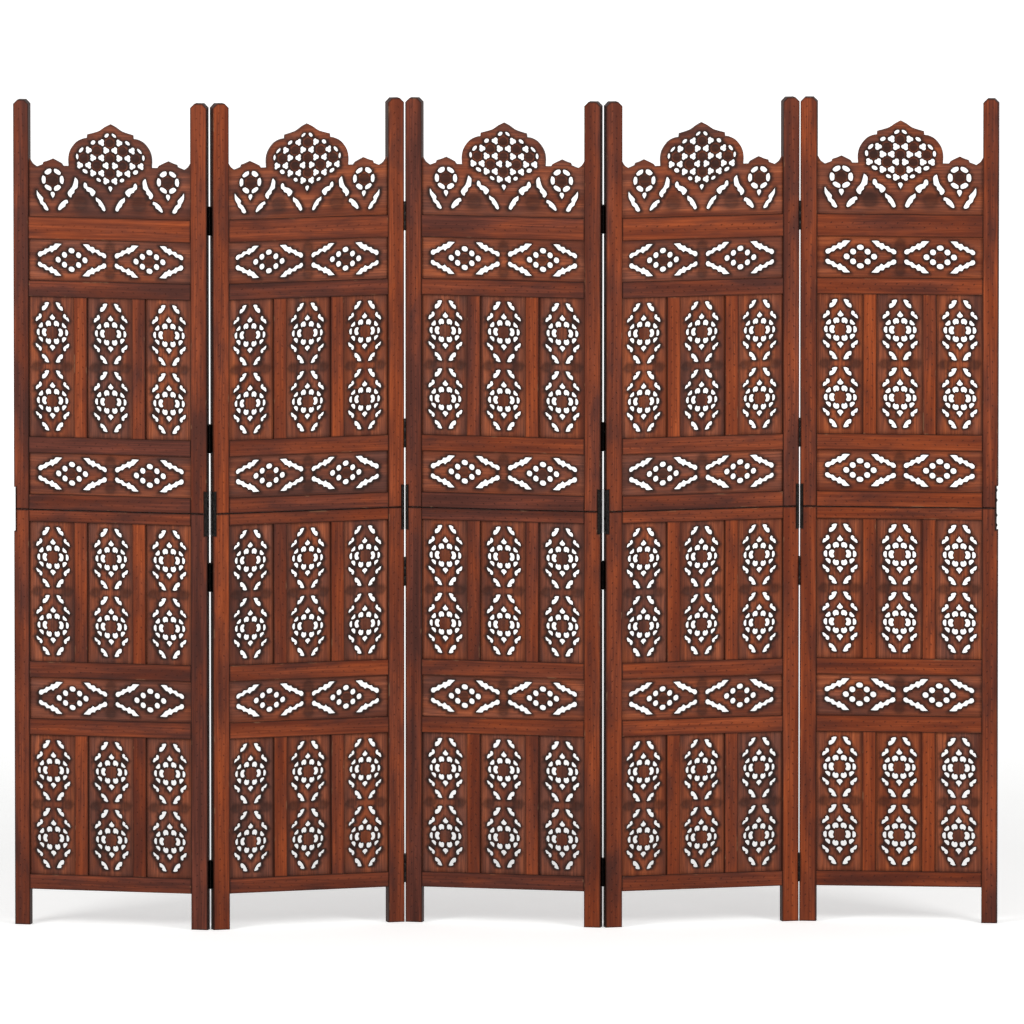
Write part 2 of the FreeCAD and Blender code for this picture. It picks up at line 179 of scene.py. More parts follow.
@dataclass(frozen=True)
class StainedWood:
    """Rosewood-like hardwood with a worn red-brown stain, darker in its cuts from stain and painted shade,
    with shade painted on its sides and along its seats, and paler where it is chipped.

    Each stick's tone runs from a cool purple-brown to a warm red-orange one, as the stain took.
    """

    name: str
    cool_dark: str
    cool_light: str
    warm_dark: str
    warm_light: str
    # Colour of the deepest stain and grime, and of the shade painted on sides, seats and the walls of cuts.
    dirt_and_shade: str
    chipped: str
    # Pores are about 0.3 mm apart on the real wood, coarsened to about 3 mm so that they show.
    streaks_per_metre: float = 330.0
    # Growth bands are about 22 mm wide, blotches of stain about 50 mm and chips about 17 mm.
    bands_per_metre: float = 46.0
    blotches_per_metre: float = 20.0
    chips_per_metre: float = 60.0
    roughness: float = 0.52
    gloss_level: float = 0.16
    pore_bump: float = 0.25
    pore_depth: float = 0.0006

    def material(self) -> bpy.types.Material:
        """Build the finish from the pieces' grain, tone, shade and wear attributes.

        Returns:
            The node material.
        """
        material, tree, output = new_material(self.name)
        grain = add_node(tree, "ShaderNodeAttribute", attribute_name="grain").outputs["Vector"]
        tone, shade, wear = [
            add_node(tree, "ShaderNodeAttribute", attribute_name=name).outputs["Fac"]
            for name in ("tone", "shade", "wear")
        ]
        noises = {}
        # Each noise has its scale along the grain, its scale across it and its detail.
        for name, along, across, detail in (
            ("streak", 9.0, self.streaks_per_metre, 3.0),
            ("band", 2.4, self.bands_per_metre, 4.0),
            ("blotch", 6.0, self.blotches_per_metre, 4.0),
            ("chip", 26.0, self.chips_per_metre, 3.0),
        ):
            drawn = add_node(tree, "ShaderNodeMapping", {"Vector": grain, "Scale": (along, across, across)})
            settings = {"Scale": 1.0, "Detail": detail, "Roughness": 0.6, "Distortion": 0.3}
            noise = add_node(tree, "ShaderNodeTexNoise", {"Vector": drawn.outputs[0], **settings})
            noises[name] = noise.outputs[0]
        shares = {}
        # Each share has the noise that it comes from, a span of that noise, and the span that it becomes.
        for name, source, low, high, first, last in (
            ("figure", "band", 0.34, 0.66, 0.0, 1.0),
            ("hue", "blotch", 0.3, 0.7, -0.5, 0.5),
            ("pores", "streak", 0.36, 0.6, 0.75, 0.0),
            ("smoke", "blotch", 0.3, 0.48, 0.4, 0.0),
            ("chips", "chip", 0.62, 0.7, 0.0, 0.5),
            ("gloss", "streak", 0.0, 1.0, self.roughness - 0.08, self.roughness + 0.14),
        ):
            spans = {"From Min": low, "From Max": high, "To Min": first, "To Max": last}
            share = add_node(tree, "ShaderNodeMapRange", {"Value": noises[source], **spans})
            shares[name] = share.outputs[0]
        warmth = add_node(
            tree, "ShaderNodeMath", {0: tone, 1: shares["hue"]}, operation="ADD", use_clamp=True
        ).outputs[0]
        chips = add_node(
            tree, "ShaderNodeMath", {0: wear, 1: shares["chips"]}, operation="MULTIPLY"
        ).outputs[0]
        colours: dict[str, object] = {
            name: linear_colour(getattr(self, name))
            for name in ("cool_dark", "cool_light", "warm_dark", "warm_light", "dirt_and_shade", "chipped")
        }
        # Each mix has its share, and the colours at none of it and at all of it.
        for name, share, first, last in (
            ("dark", warmth, "cool_dark", "warm_dark"),
            ("light", warmth, "cool_light", "warm_light"),
            ("figured", shares["figure"], "dark", "light"),
            ("grained", shares["pores"], "figured", "dark"),
            ("smoked", shares["smoke"], "grained", "cool_dark"),
            ("worn", chips, "smoked", "chipped"),
            # The shade attribute holds stain and grime, and also shade painted on sides, seats and the walls
            # of cuts.
            ("stained", shade, "worn", "dirt_and_shade"),
        ):
            ends = {MIX_FIRST: colours[first], MIX_SECOND: colours[last]}
            mix = add_node(tree, "ShaderNodeMix", {MIX_SHARE: share, **ends}, data_type="RGBA")
            colours[name] = mix.outputs[MIX_RESULT]
        bump = add_node(
            tree,
            "ShaderNodeBump",
            {"Height": noises["streak"], "Strength": self.pore_bump, "Distance": self.pore_depth},
        )
        shader = add_node(
            tree,
            "ShaderNodeBsdfPrincipled",
            {
                "Base Color": colours["stained"],
                "Roughness": shares["gloss"],
                "Specular IOR Level": self.gloss_level,
                "Normal": bump.outputs[0],
            },
        )
        tree.links.new(shader.outputs[0], output.inputs["Surface"])
        return material


@dataclass(frozen=True)
class WornMetal:
    """Sheet or rod metal whose surface is mottled by age, on Object coordinates."""

    name: str
    clean: str
    dull: str
    metallic: float
    roughness: float
    # Mottles of scale and old oil are about 4 mm wide.
    mottles_per_metre: float = 260.0
    pit_bump: float = 0.2
    pit_depth: float = 0.0004

    def material(self) -> bpy.types.Material:
        """Build the mottled finish.

        Returns:
            The node material.
        """
        material, tree, output = new_material(self.name)
        place = add_node(tree, "ShaderNodeTexCoord").outputs["Object"]
        mottle = add_node(
            tree,
            "ShaderNodeTexNoise",
            {"Vector": place, "Scale": self.mottles_per_metre, "Detail": 4.0, "Roughness": 0.65},
        ).outputs[0]
        patch = add_node(tree, "ShaderNodeMapRange", {"Value": mottle, "From Min": 0.38, "From Max": 0.66})
        ends = {MIX_FIRST: linear_colour(self.clean), MIX_SECOND: linear_colour(self.dull)}
        colour = add_node(tree, "ShaderNodeMix", {MIX_SHARE: patch.outputs[0], **ends}, data_type="RGBA")
        gloss = add_node(
            tree,
            "ShaderNodeMapRange",
            {"Value": mottle, "To Min": self.roughness - 0.12, "To Max": self.roughness + 0.15},
        )
        bump = add_node(
            tree, "ShaderNodeBump", {"Height": mottle, "Strength": self.pit_bump, "Distance": self.pit_depth}
        )
        shader = add_node(
            tree,
            "ShaderNodeBsdfPrincipled",
            {
                "Base Color": colour.outputs[MIX_RESULT],
                "Metallic": self.metallic,
                "Roughness": gloss.outputs[0],
                "Normal": bump.outputs[0],
            },
        )
        tree.links.new(shader.outputs[0], output.inputs["Surface"])
        return material


@dataclass(frozen=True)
class Outline:
    """A closed line through given points, smooth except at its corners."""

    points: tuple[tuple[float, float], ...]
    corners: tuple[int, ...] = ()

    def curve(self, steps: int = 3) -> Array:
        """Carry a cubic from each point to the next.

        Each stretch is the Hermite cubic between two points. Its slope at a point is half the way from the
        point before to the point after, and at a corner it is the way to or from the one neighbour alone.

        Args:
            steps: Stretches that each cubic is divided into.

        Returns:
            Points along the line, one row each.
        """
        here = np.array(self.points, float)
        after = np.roll(here, -1, axis=0)
        before = np.roll(here, 1, axis=0)
        sharp = np.isin(np.arange(len(here)), self.corners)[:, None]
        leaving = np.where(sharp, after - here, (after - before) / 2)
        arriving = np.roll(np.where(sharp, here - before, (after - before) / 2), -1, axis=0)
        t = np.arange(steps)[None, :, None] / steps
        line = (
            here[:, None] * (2 * t**3 - 3 * t**2 + 1)
            + leaving[:, None] * (t**3 - 2 * t**2 + t)
            + after[:, None] * (3 * t**2 - 2 * t**3)
            + arriving[:, None] * (t**3 - t**2)
        )
        return line.reshape(-1, 2)


def oval(x: float, z: float, across: float, up: float, turn: float = 0.0, sides: int = 16) -> Array:
    """Return an ellipse: its half axes times the cosine and sine of an angle, then turned and moved.

    Args:
        x: Middle across the board.
        z: Middle up the board.
        across: Half axis across.
        up: Half axis up.
        turn: Turn in degrees.
        sides: Number of points.

    Returns:
        Points along the line.
    """
    angle = np.arange(sides) * 2 * math.pi / sides
    tilt = math.radians(turn)
    flat = np.stack([across * np.cos(angle), up * np.sin(angle)], axis=1)
    spin = np.array([[math.cos(tilt), math.sin(tilt)], [-math.sin(tilt), math.cos(tilt)]])
    return flat @ spin + (x, z)


def trefoil(
    x: float, z: float, lobe_turn: float, lobe: float = 4.4, shift: float = 3.2, sides: int = 24
) -> Array:
    """Return the edge of three circles that overlap.

    At an angle a from the nearest circle's middle, the edge is s cos a + sqrt(r^2 - s^2 sin^2 a) from the
    trefoil's middle, where r is a circle's radius and s its shift.

    Args:
        x: Middle across the board.
        z: Middle up the board.
        lobe_turn: Direction of one lobe in degrees.
        lobe: Radius of each circle.
        shift: Distance of the circles' middles from the trefoil's middle.
        sides: Number of points.

    Returns:
        Points along the line.
    """
    angle = np.arange(sides) * 2 * math.pi / sides
    off = (angle + math.pi / 3) % (2 * math.pi / 3) - math.pi / 3
    reach = shift * np.cos(off) + np.sqrt(lobe**2 - (shift * np.sin(off)) ** 2)
    way = angle + math.radians(lobe_turn)
    return np.stack([x + reach * np.cos(way), z + reach * np.sin(way)], axis=1)


def rectangle(left: float, bottom: float, right: float, top: float) -> Array:
    """Return the four corners of a rectangle."""
    return np.array([(left, bottom), (right, bottom), (right, top), (left, top)], float)


def anticlockwise(line: Array) -> Array:
    """Put a closed line in anticlockwise order, by the sign of its area.

    Args:
        line: Points of the line.

    Returns:
        The points, in turn or the other way about.
    """
    after = np.roll(line, -1, axis=0)
    area = (line[:, 0] * after[:, 1] - after[:, 0] * line[:, 1]).sum()
    return line if area > 0 else line[::-1]


def offset(line: Array, distance: float) -> Array:
    """Move a closed anticlockwise line outwards.

    Each point moves along the mitre of its edges, (n1 + n2) / (1 + n1.n2) for their unit normals n1 and n2.

    Args:
        line: Points of the line.
        distance: Way to move, inwards where it is below zero.

    Returns:
        Moved points.
    """
    edge = np.roll(line, -1, axis=0) - line
    normal = np.stack([edge[:, 1], -edge[:, 0]], axis=1) / np.linalg.norm(edge, axis=1, keepdims=True)
    before = np.roll(normal, 1, axis=0)
    share = np.maximum(1 + (normal * before).sum(axis=1, keepdims=True), LEAST_MITRE)
    return line + distance * (normal + before) / share


def both_sides(lines: list[Array]) -> list[Array]:
    """Return lines with their mirror images across X = 0."""
    return [*lines, *[line * (-1, 1) for line in lines]]


def four_ways(lines: list[Array]) -> list[Array]:
    """Return lines with their mirror images across X = 0, Z = 0 and both."""
    return [line * (sx, sz) for line in lines for sx in (1, -1) for sz in (1, -1)]


def moved(lines: list[Array], x: float, z: float) -> list[Array]:
    """Return lines shifted across and up."""
    return [line + (x, z) for line in lines]


def in_wood(points: Array, loops: list[Array]) -> Array:
    """Tell which points lie in the wood: their rays to the right cross all the loops an odd number of times.

    Args:
        points: Places to test.
        loops: Outline and cuts, none of which cross.

    Returns:
        True or false for each point.
    """
    start = np.concatenate(loops)
    end = np.concatenate([np.roll(loop, -1, axis=0) for loop in loops])
    level = points[:, None, 1]
    spans = (start[None, :, 1] > level) != (end[None, :, 1] > level)
    rise = end[:, 1] - start[:, 1]
    slope = (end[:, 0] - start[:, 0]) / np.where(rise == 0, 1.0, rise)
    crossing = start[None, :, 0] + (level - start[None, :, 1]) * slope[None]
    return (spans & (points[:, None, 0] < crossing)).sum(axis=1) % 2 == 1


def nearest(points: Array, others: Array) -> Array:
    """Return each point's distance to the nearest of some other points."""
    gap = points[:, None] - others[None]
    return np.sqrt((gap**2).sum(axis=2).min(axis=1))


def from_edge(points: Array, line: Array) -> Array:
    """Return each point's distance to a closed line, as the least distance to its straight stretches.

    Args:
        points: Places to measure from.
        line: Points of the line.

    Returns:
        One distance for each place.
    """
    run = np.roll(line, -1, axis=0) - line
    gap = points[:, None] - line[None]
    share = np.clip((gap * run).sum(axis=2) / (run**2).sum(axis=1), 0, 1)
    return np.sqrt(((gap - share[..., None] * run) ** 2).sum(axis=2).min(axis=1))


def fill_face(points: Array, loops: list[Array]) -> Array:
    """Divide a pierced face into triangles on its loops and inner points.

    Args:
        points: All points, those of the loops first and in their order.
        loops: Outline and cuts.

    Returns:
        Corner numbers of anticlockwise triangles.
    """
    sizes = np.array([len(loop) for loop in loops])
    first = np.arange(sizes.sum())
    own_start = np.repeat(np.cumsum(sizes) - sizes, sizes)
    second = own_start + (first - own_start + 1) % np.repeat(sizes, sizes)
    edges = np.stack([first, second], axis=1).tolist()
    found = delaunay_2d_cdt([Vector(point) for point in points.tolist()], edges, [], 0, 1e-5)
    crossings = [tuple(place) for place, numbers in zip(found[0], found[3]) if not numbers]
    if crossings or len(found[0]) != len(points):
        raise ValueError(f"cuts touch each other, near {crossings}")
    source = np.array([numbers[0] for numbers in found[3]])
    tris = source[np.array(found[2])]
    return tris[in_wood(points[tris].mean(axis=1), loops)]


@dataclass
class Skin:
    """A surface as whole arrays, with what the finishes read at each point."""

    points: Array
    shade: Array
    wear: Array
    tris: Array
    quads: Array
    soft_tris: Array
    soft_quads: Array


class SkinMaker:
    """Collects the rings and faces of one surface."""

    def __init__(self) -> None:
        """Start with nothing."""
        self.count = 0
        self.rows: dict[str, list[Array]] = {
            "points": [],
            "shade": [],
            "wear": [],
            "tris": [np.zeros((0, 3), int)],
            "quads": [np.zeros((0, 4), int)],
            "soft_tris": [np.zeros(0, bool)],
            "soft_quads": [np.zeros(0, bool)],
        }

    def add(self, points: Array, shade: float | Array = 0.0, wear: float | Array = 0.0) -> Array:
        """Add points.

        Args:
            points: Places, one row each.
            shade: Darkness from stain and grime, and from shade painted on sides, seats and the walls of cuts,
                0 to 1.
            wear: How far the edge is rubbed, 0 to 1.

        Returns:
            The points' numbers.
        """
        self.rows["points"].append(points)
        for name, value in (("shade", shade), ("wear", wear)):
            self.rows[name].append(np.broadcast_to(np.asarray(value, float), len(points)))
        self.count += len(points)
        return np.arange(self.count - len(points), self.count)

    def faces(self, tris: Array, soft: bool = False) -> None:
        """Add triangles by their corners' numbers."""
        self.rows["tris"].append(tris)
        self.rows["soft_tris"].append(np.full(len(tris), soft))

    def band(self, first: Array, second: Array, flip: bool = False, soft: bool = True) -> None:
        """Join two closed rings of as many points by a band of quads.

        Args:
            first: Numbers of the first ring's points.
            second: Numbers of the second ring's points.
            flip: Turn the band's face to the other side.
            soft: Shade the band smoothly.
        """
        quads = np.stack([first, np.roll(first, -1), np.roll(second, -1), second], axis=1)
        self.rows["quads"].append(quads[:, ::-1] if flip else quads)
        self.rows["soft_quads"].append(np.full(len(quads), soft))

    def fan(self, ring: Array, tip: int, flip: bool = False) -> None:
        """Close a ring by triangles to one point."""
        tris = np.stack([ring, np.roll(ring, -1), np.full(len(ring), tip)], axis=1)
        self.faces(tris[:, ::-1] if flip else tris, soft=True)

    def skin(self) -> Skin:
        """Return the finished surface."""
        return Skin(**{name: np.concatenate(rows) for name, rows in self.rows.items()})


@dataclass(frozen=True)
class Relief:
    """A raised or sunk field: ever smaller copies of its outline, each at its own height.

    The last copy is a middle point. Rings are pairs of a share of the outline and a height. Petals ripple
    the height round the middle. The halo is how far the field's dark stain fades out over the face around it.
    """

    line: Array
    rings: tuple[tuple[float, float], ...]
    shade: float
    petals: int = 0
    ripple: float = 0.0
    halo: float = 0.0
    front_only: bool = False


@dataclass
class Board:
    """A flat piece cut to an outline, pierced, bevelled and carved in low relief on both faces."""

    outline: Array
    thickness: float
    holes: list[Array] = field(default_factory=list)
    reliefs: list[Relief] = field(default_factory=list)
    edge: float = 1.2
    # Band along the face's edge that is rubbed and also takes painted shade.
    rubbed_shaded_margin: float = 0.0
    hole_edge: float = 0.8
    cell: float = 6.0
    # Painted shade on the walls of the cuts.
    hole_wall_painted_shade: float = 0.85
    burn_reach: float = 2.3
    # Painted shade on the walls of the outline.
    side_painted_shade: float = 0.0
    # Painted shade along the seats, where the frame stands proud of the board.
    seat_painted_shade: float = 0.0
    seat: float = 0.0
    seat_fade: float = 5.0
    burn_shade: float = 0.96
    edge_wear: float = 0.0

    def inner_points(self, loops: list[Array]) -> Array:
        """Return a staggered grid of points over the wood, clear of every loop.

        Args:
            loops: Outline and cuts.

        Returns:
            Places of the points.
        """
        low = loops[0].min(axis=0)
        high = loops[0].max(axis=0)
        columns = np.arange(low[0], high[0], self.cell)
        rows = np.arange(low[1], high[1], self.cell * ROW_SHARE)
        x, z = np.meshgrid(columns, rows)
        x = x + self.cell / 2 * (np.arange(len(rows)) % 2)[:, None]
        grid = np.stack([x.ravel(), z.ravel()], axis=1)
        grid = grid[in_wood(grid, loops)]
        clear = CLEAR_SHARE * self.cell
        return grid[nearest(grid, np.concatenate(loops)) > clear] if len(grid) else grid

    def stain(self, points: Array) -> Array:
        """Return how dark the face is: the darkest of the shade painted along the seats and the stain left
        from cuts and carved fields.

        It fades as exp(-distance / seat fade) from the seats, exp(-distance / burn reach) from the cuts, and
        exp(-distance / halo) from a carved field.

        Args:
            points: Places on the board's face.

        Returns:
            Darkness at each place, 0 to 1.
        """
        # Painted shade fading in from the seats, where the proud frame shades the board's edges.
        inside = np.maximum(from_edge(points, self.outline) - self.seat, 0)
        dark = self.seat_painted_shade * np.exp(-inside / self.seat_fade)
        if self.holes:
            gap = np.maximum(nearest(points, np.concatenate(self.holes)) - self.hole_edge, 0)
            dark = np.maximum(dark, self.burn_shade * np.exp(-gap / self.burn_reach))
        for relief in self.reliefs:
            if relief.halo:
                fade = np.exp(-from_edge(points, relief.line) / relief.halo)
                dark = np.maximum(dark, relief.shade * fade)
        return dark

    def skin(self) -> Skin:
        """Work the board out: two filled faces, bevelled walls along the outline and the holes, and reliefs.

        Returns:
            The closed surface, in the board's plane X and Z with its thickness along Y.
        """
        half = self.thickness / 2
        outline = anticlockwise(self.outline)
        holes = [anticlockwise(hole) for hole in self.holes]
        fields = [anticlockwise(relief.line) for relief in self.reliefs]
        mouths = [offset(hole, self.hole_edge) for hole in holes]
        rim = offset(outline, -self.edge)
        face_edge = offset(outline, -self.edge - self.rubbed_shaded_margin) if self.rubbed_shaded_margin else rim
        loops = [face_edge, *mouths, *fields]
        inner = self.inner_points(loops)
        flat = np.concatenate([*loops, inner])
        tris = fill_face(flat, loops)
        # Stain near the cuts and carved fields, and painted shade along the seats.
        stain = self.stain(flat)
        starts = np.cumsum([0, *[len(loop) for loop in loops]])
        made = SkinMaker()

        def lift(line: Array, y: float | Array) -> Array:
            """Stand a flat line up at a depth."""
            return np.stack([line[:, 0], np.broadcast_to(y, len(line)), line[:, 1]], axis=1)

        front = made.add(lift(flat, -half), stain)
        back = made.add(lift(flat, half), stain)
        made.faces(tris)
        made.faces(tris[:, ::-1] + len(flat))

        # The outline's walls take the sides' painted shade.
        walls = [
            made.add(lift(outline, -half + self.edge), self.side_painted_shade, self.edge_wear),
            made.add(lift(outline, half - self.edge), self.side_painted_shade, self.edge_wear),
        ]
        rims = [front[: starts[1]], back[: starts[1]]]
        # The band along the face's edge takes half the sides' painted shade, and the edge's wear.
        if self.rubbed_shaded_margin:
            near = [made.add(lift(rim, side * half), self.side_painted_shade / 2, self.edge_wear) for side in (-1, 1)]
            made.band(rims[0], near[0], flip=True, soft=False)
            made.band(near[1], rims[1], flip=True, soft=False)
            rims = near
        made.band(rims[0], walls[0], flip=True)
        made.band(walls[0], walls[1], flip=True, soft=False)
        made.band(walls[1], rims[1], flip=True)

        for hole, start in zip(holes, starts[1:]):
            span = slice(start, start + len(hole))
            # The walls of the cuts take painted shade.
            upper = made.add(lift(hole, -half + self.hole_edge), self.hole_wall_painted_shade)
            lower = made.add(lift(hole, half - self.hole_edge), self.hole_wall_painted_shade)
            made.band(front[span], upper)
            made.band(upper, lower)
            made.band(lower, back[span])

        for relief, line, start in zip(self.reliefs, fields, starts[1 + len(holes) :]):
            span = slice(start, start + len(line))
            middle = line.mean(axis=0)
            angle = np.arctan2(line[:, 1] - middle[1], line[:, 0] - middle[0])
            swell = 1 + relief.ripple * np.cos(relief.petals * angle)
            for side, ring in ((-1, front[span]), (1, back[span])):
                rise = 0.0 if relief.front_only and side > 0 else 1.0
                for share, height in relief.rings[:-1]:
                    depth = side * (half + rise * height * swell)
                    inward = made.add(lift(middle + share * (line - middle), depth), relief.shade)
                    made.band(ring, inward, flip=side > 0)
                    ring = inward
                peak = side * (half + rise * relief.rings[-1][1])
                tip = made.add(lift(middle[None], peak), relief.shade)
                made.fan(ring, int(tip[0]), flip=side > 0)
        return made.skin()


def turned_rod(profile: Array, tube: bool, sides: int = 16) -> Skin:
    """Carry a profile of radius and height round the upright axis.

    A point of the grid is (r cos a, r sin a, h). A tube's profile closes on itself, and a rod's ends meet the
    axis in one point each.

    Args:
        profile: Rows of radius and height, going up on the outside.
        tube: Whether the profile is a closed loop.
        sides: Points round the axis.

    Returns:
        The closed surface.
    """
    angle = np.arange(sides) * 2 * math.pi / sides
    made = SkinMaker()
    rings = [
        made.add(np.stack([radius * np.cos(angle), radius * np.sin(angle), np.full(sides, height)], axis=1))
        for radius, height in profile
    ]
    for lower, upper in zip(rings, rings[1:]):
        made.band(lower, upper)
    if tube:
        made.band(rings[-1], rings[0])
    else:
        foot = made.add(np.array([(0.0, 0.0, profile[0][1])]))
        head = made.add(np.array([(0.0, 0.0, profile[-1][1])]))
        made.fan(rings[0], int(foot[0]), flip=True)
        made.fan(rings[-1], int(head[0]))
    return made.skin()


def turn_about_z(points: Array, degrees: float) -> Array:
    """Turn points about the upright axis.

    Args:
        points: Places, one row each.
        degrees: Turn, from X towards Y.

    Returns:
        Turned places.
    """
    angle = math.radians(degrees)
    cos, sin = math.cos(angle), math.sin(angle)
    return points @ np.array([[cos, sin, 0.0], [-sin, cos, 0.0], [0.0, 0.0, 1.0]])


@dataclass(frozen=True)
class Standing:
    """Where a sub-assembly stands on the floor: a turn about the upright axis and a place in metres."""

    x: float
    y: float
    turn: float

    @classmethod
    def of_node(cls, node: str, turn: float) -> "Standing":
        """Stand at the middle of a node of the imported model."""
        low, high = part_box(node)
        return cls((low.x + high.x) / 2, (low.y + high.y) / 2, turn)

    def place(self, points: Array) -> Array:
        """Take points from millimetres of the sub-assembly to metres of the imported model."""
        return turn_about_z(points, self.turn) * MM + (self.x, self.y, 0.0)


@dataclass
class Member:
    """One placed copy of a surface in a piece."""

    skin: Skin
    shift: tuple[float, float, float] = (0.0, 0.0, 0.0)
    turn: float = 0.0
    grain: GrainRun = GrainRun.UPRIGHT
    tone: float = 0.5


def make_piece(
    node: str, label: str, members: list[Member], standing: Standing, material: bpy.types.Material, seed: int
) -> bpy.types.Object:
    """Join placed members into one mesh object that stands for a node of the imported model.

    Args:
        node: Node that the piece replaces.
        label: Last part of the piece's name.
        members: Surfaces and their places.
        standing: Where the sub-assembly stands.
        material: Finish of the piece.
        seed: Start of the draw that shifts each member's grain.

    Returns:
        The finished object.
    """
    draw = np.random.default_rng(seed)
    rows: dict[str, list[Array]] = {}
    count = 0
    for member in members:
        skin = member.skin
        own = turn_about_z(skin.points, member.turn) + member.shift
        for name, values in (
            ("co", standing.place(own)),
            ("grain", skin.points[:, member.grain.value] * MM + draw.uniform(0, GRAIN_SHIFT, 3)),
            ("tone", np.full(len(own), member.tone)),
            ("shade", skin.shade),
            ("wear", skin.wear),
            ("tris", skin.tris + count),
            ("quads", skin.quads + count),
            ("soft_tris", skin.soft_tris),
            ("soft_quads", skin.soft_quads),
        ):
            rows.setdefault(name, []).append(values)
        count += len(own)
    whole = {name: np.concatenate(values) for name, values in rows.items()}
    tri_count = len(whole["tris"])
    quad_count = len(whole["quads"])
    corners = np.concatenate([whole["tris"].ravel(), whole["quads"].ravel()])
    starts = np.concatenate([3 * np.arange(tri_count), 3 * tri_count + 4 * np.arange(quad_count)])
    mesh = bpy.data.meshes.new(f"{node}_{label}")
    mesh.vertices.add(count)
    mesh.vertices.foreach_set("co", whole["co"].astype(np.float32).ravel())
    mesh.loops.add(len(corners))
    mesh.loops.foreach_set("vertex_index", corners.astype(np.int32))
    mesh.polygons.add(len(starts))
    mesh.polygons.foreach_set("loop_start", starts.astype(np.int32))
    mesh.polygons.foreach_set("use_smooth", np.concatenate([whole["soft_tris"], whole["soft_quads"]]))
    for name, kind, key in (
        ("grain", "FLOAT_VECTOR", "vector"),
        ("tone", "FLOAT", "value"),
        ("shade", "FLOAT", "value"),
        ("wear", "FLOAT", "value"),
    ):
        layer = mesh.attributes.new(name, kind, "POINT")
        layer.data.foreach_set(key, whole[name].astype(np.float32).ravel())
    mesh.update(calc_edges=True)
    mesh.validate()
    mesh.materials.append(material)
    piece = bpy.data.objects.new(mesh.name, mesh)
    bpy.context.scene.collection.objects.link(piece)
    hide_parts(node)
    log.info("%s: %d faces", piece.name, len(mesh.polygons))
    return piece


@dataclass(frozen=True)
class Medallion:
    """The cuts round one boss of a lattice board, from the boss's middle. Each is mirrored across and up."""

    boss_radius: float = 11.0
    side_petal: Outline = Outline(
        (
            (11.2, 5.2), (14, 8), (18.5, 7.6), (21.8, 3.5), (21.8, -3.5),
            (18.5, -7.6), (14, -8), (11.2, -5.2), (13.2, 0),
        )
    )
    slanting_petal: Outline = Outline(
        (
            (2.4, 14.8), (2.6, 20.2), (5.4, 23.3), (10.8, 22.8), (14.4, 18.5),
            (13.6, 13.5), (10.8, 10.8), (8.4, 13.2), (5.2, 12.3),
        )
    )
    side_lens: Outline = Outline(
        ((26, 5.8), (29, 6.6), (32, 4), (32.8, 0), (32, -4), (29, -6.6), (26, -5.8), (25.6, 0))
    )
    slanting_lens: Outline = Outline(
        ((19, 12), (19.2, 18), (21.5, 19.8), (26.5, 15.5), (29.2, 11.2), (27, 9), (23, 9.2))
    )
    drop: Outline = Outline(
        (
            (0, 38.2), (3, 33.5), (6.2, 29.8), (4.2, 26.4),
            (0, 24.6), (-4.2, 26.4), (-6.2, 29.8), (-3, 33.5),
        ),
        (0,),
    )
    shoulder_leaf: Outline = Outline(
        (
            (22.8, 36.9), (26.4, 37.1), (28.7, 34.0), (28.4, 31.3), (31.9, 30.5), (34.3, 26.8),
            (34.7, 21.7), (30.2, 23.1), (26.7, 26.2), (22.6, 28.9), (21.1, 32.6),
        )
    )
    tip_leaf: Outline = Outline(
        (
            (6.3, 59.9), (12.5, 60.1), (16.8, 57.2), (16.2, 53.7), (20.5, 51.8),
            (22.1, 47.7), (21.2, 43.3), (15.7, 44.5), (10.9, 49.0), (7.9, 54.4),
        )
    )

    def cuts(self) -> list[Array]:
        """Mirror the cuts to all their places.

        Returns:
            Lines of the cuts, about the boss's middle.
        """
        slanting = (self.slanting_petal, self.slanting_lens, self.shoulder_leaf, self.tip_leaf)
        return [
            *both_sides([self.side_petal.curve(), self.side_lens.curve()]),
            *[self.drop.curve() * (1, sign) for sign in (1, -1)],
            *four_ways([cut.curve() for cut in slanting]),
        ]


# Rings of the carved fields, as pairs of a share of the outline and a height in millimetres.
BOSS_RINGS = ((0.93, 0.7), (0.8, 1.1), (0.64, 0.7), (0.45, 1.2), (0.0, 1.5))
GOUGE_RINGS = ((0.55, -0.8), (0.0, -1.1))
NICK_RINGS = ((0.5, -0.9), (0.0, -1.2))


@dataclass(frozen=True)
class Gouge:
    """A shallow oval hollow: its middle, its half axes, and how dark it is and how far the dark fades out."""

    x: float
    z: float
    across: float
    up: float
    shade: float
    halo: float

    def relief(self, side: int = 1, end: int = 1) -> Relief:
        """Return the hollow, mirrored across where side is -1 and upside down where end is -1."""
        line = oval(side * self.x, end * self.z, self.across, self.up)
        return Relief(line, GOUGE_RINGS, self.shade, halo=self.halo)


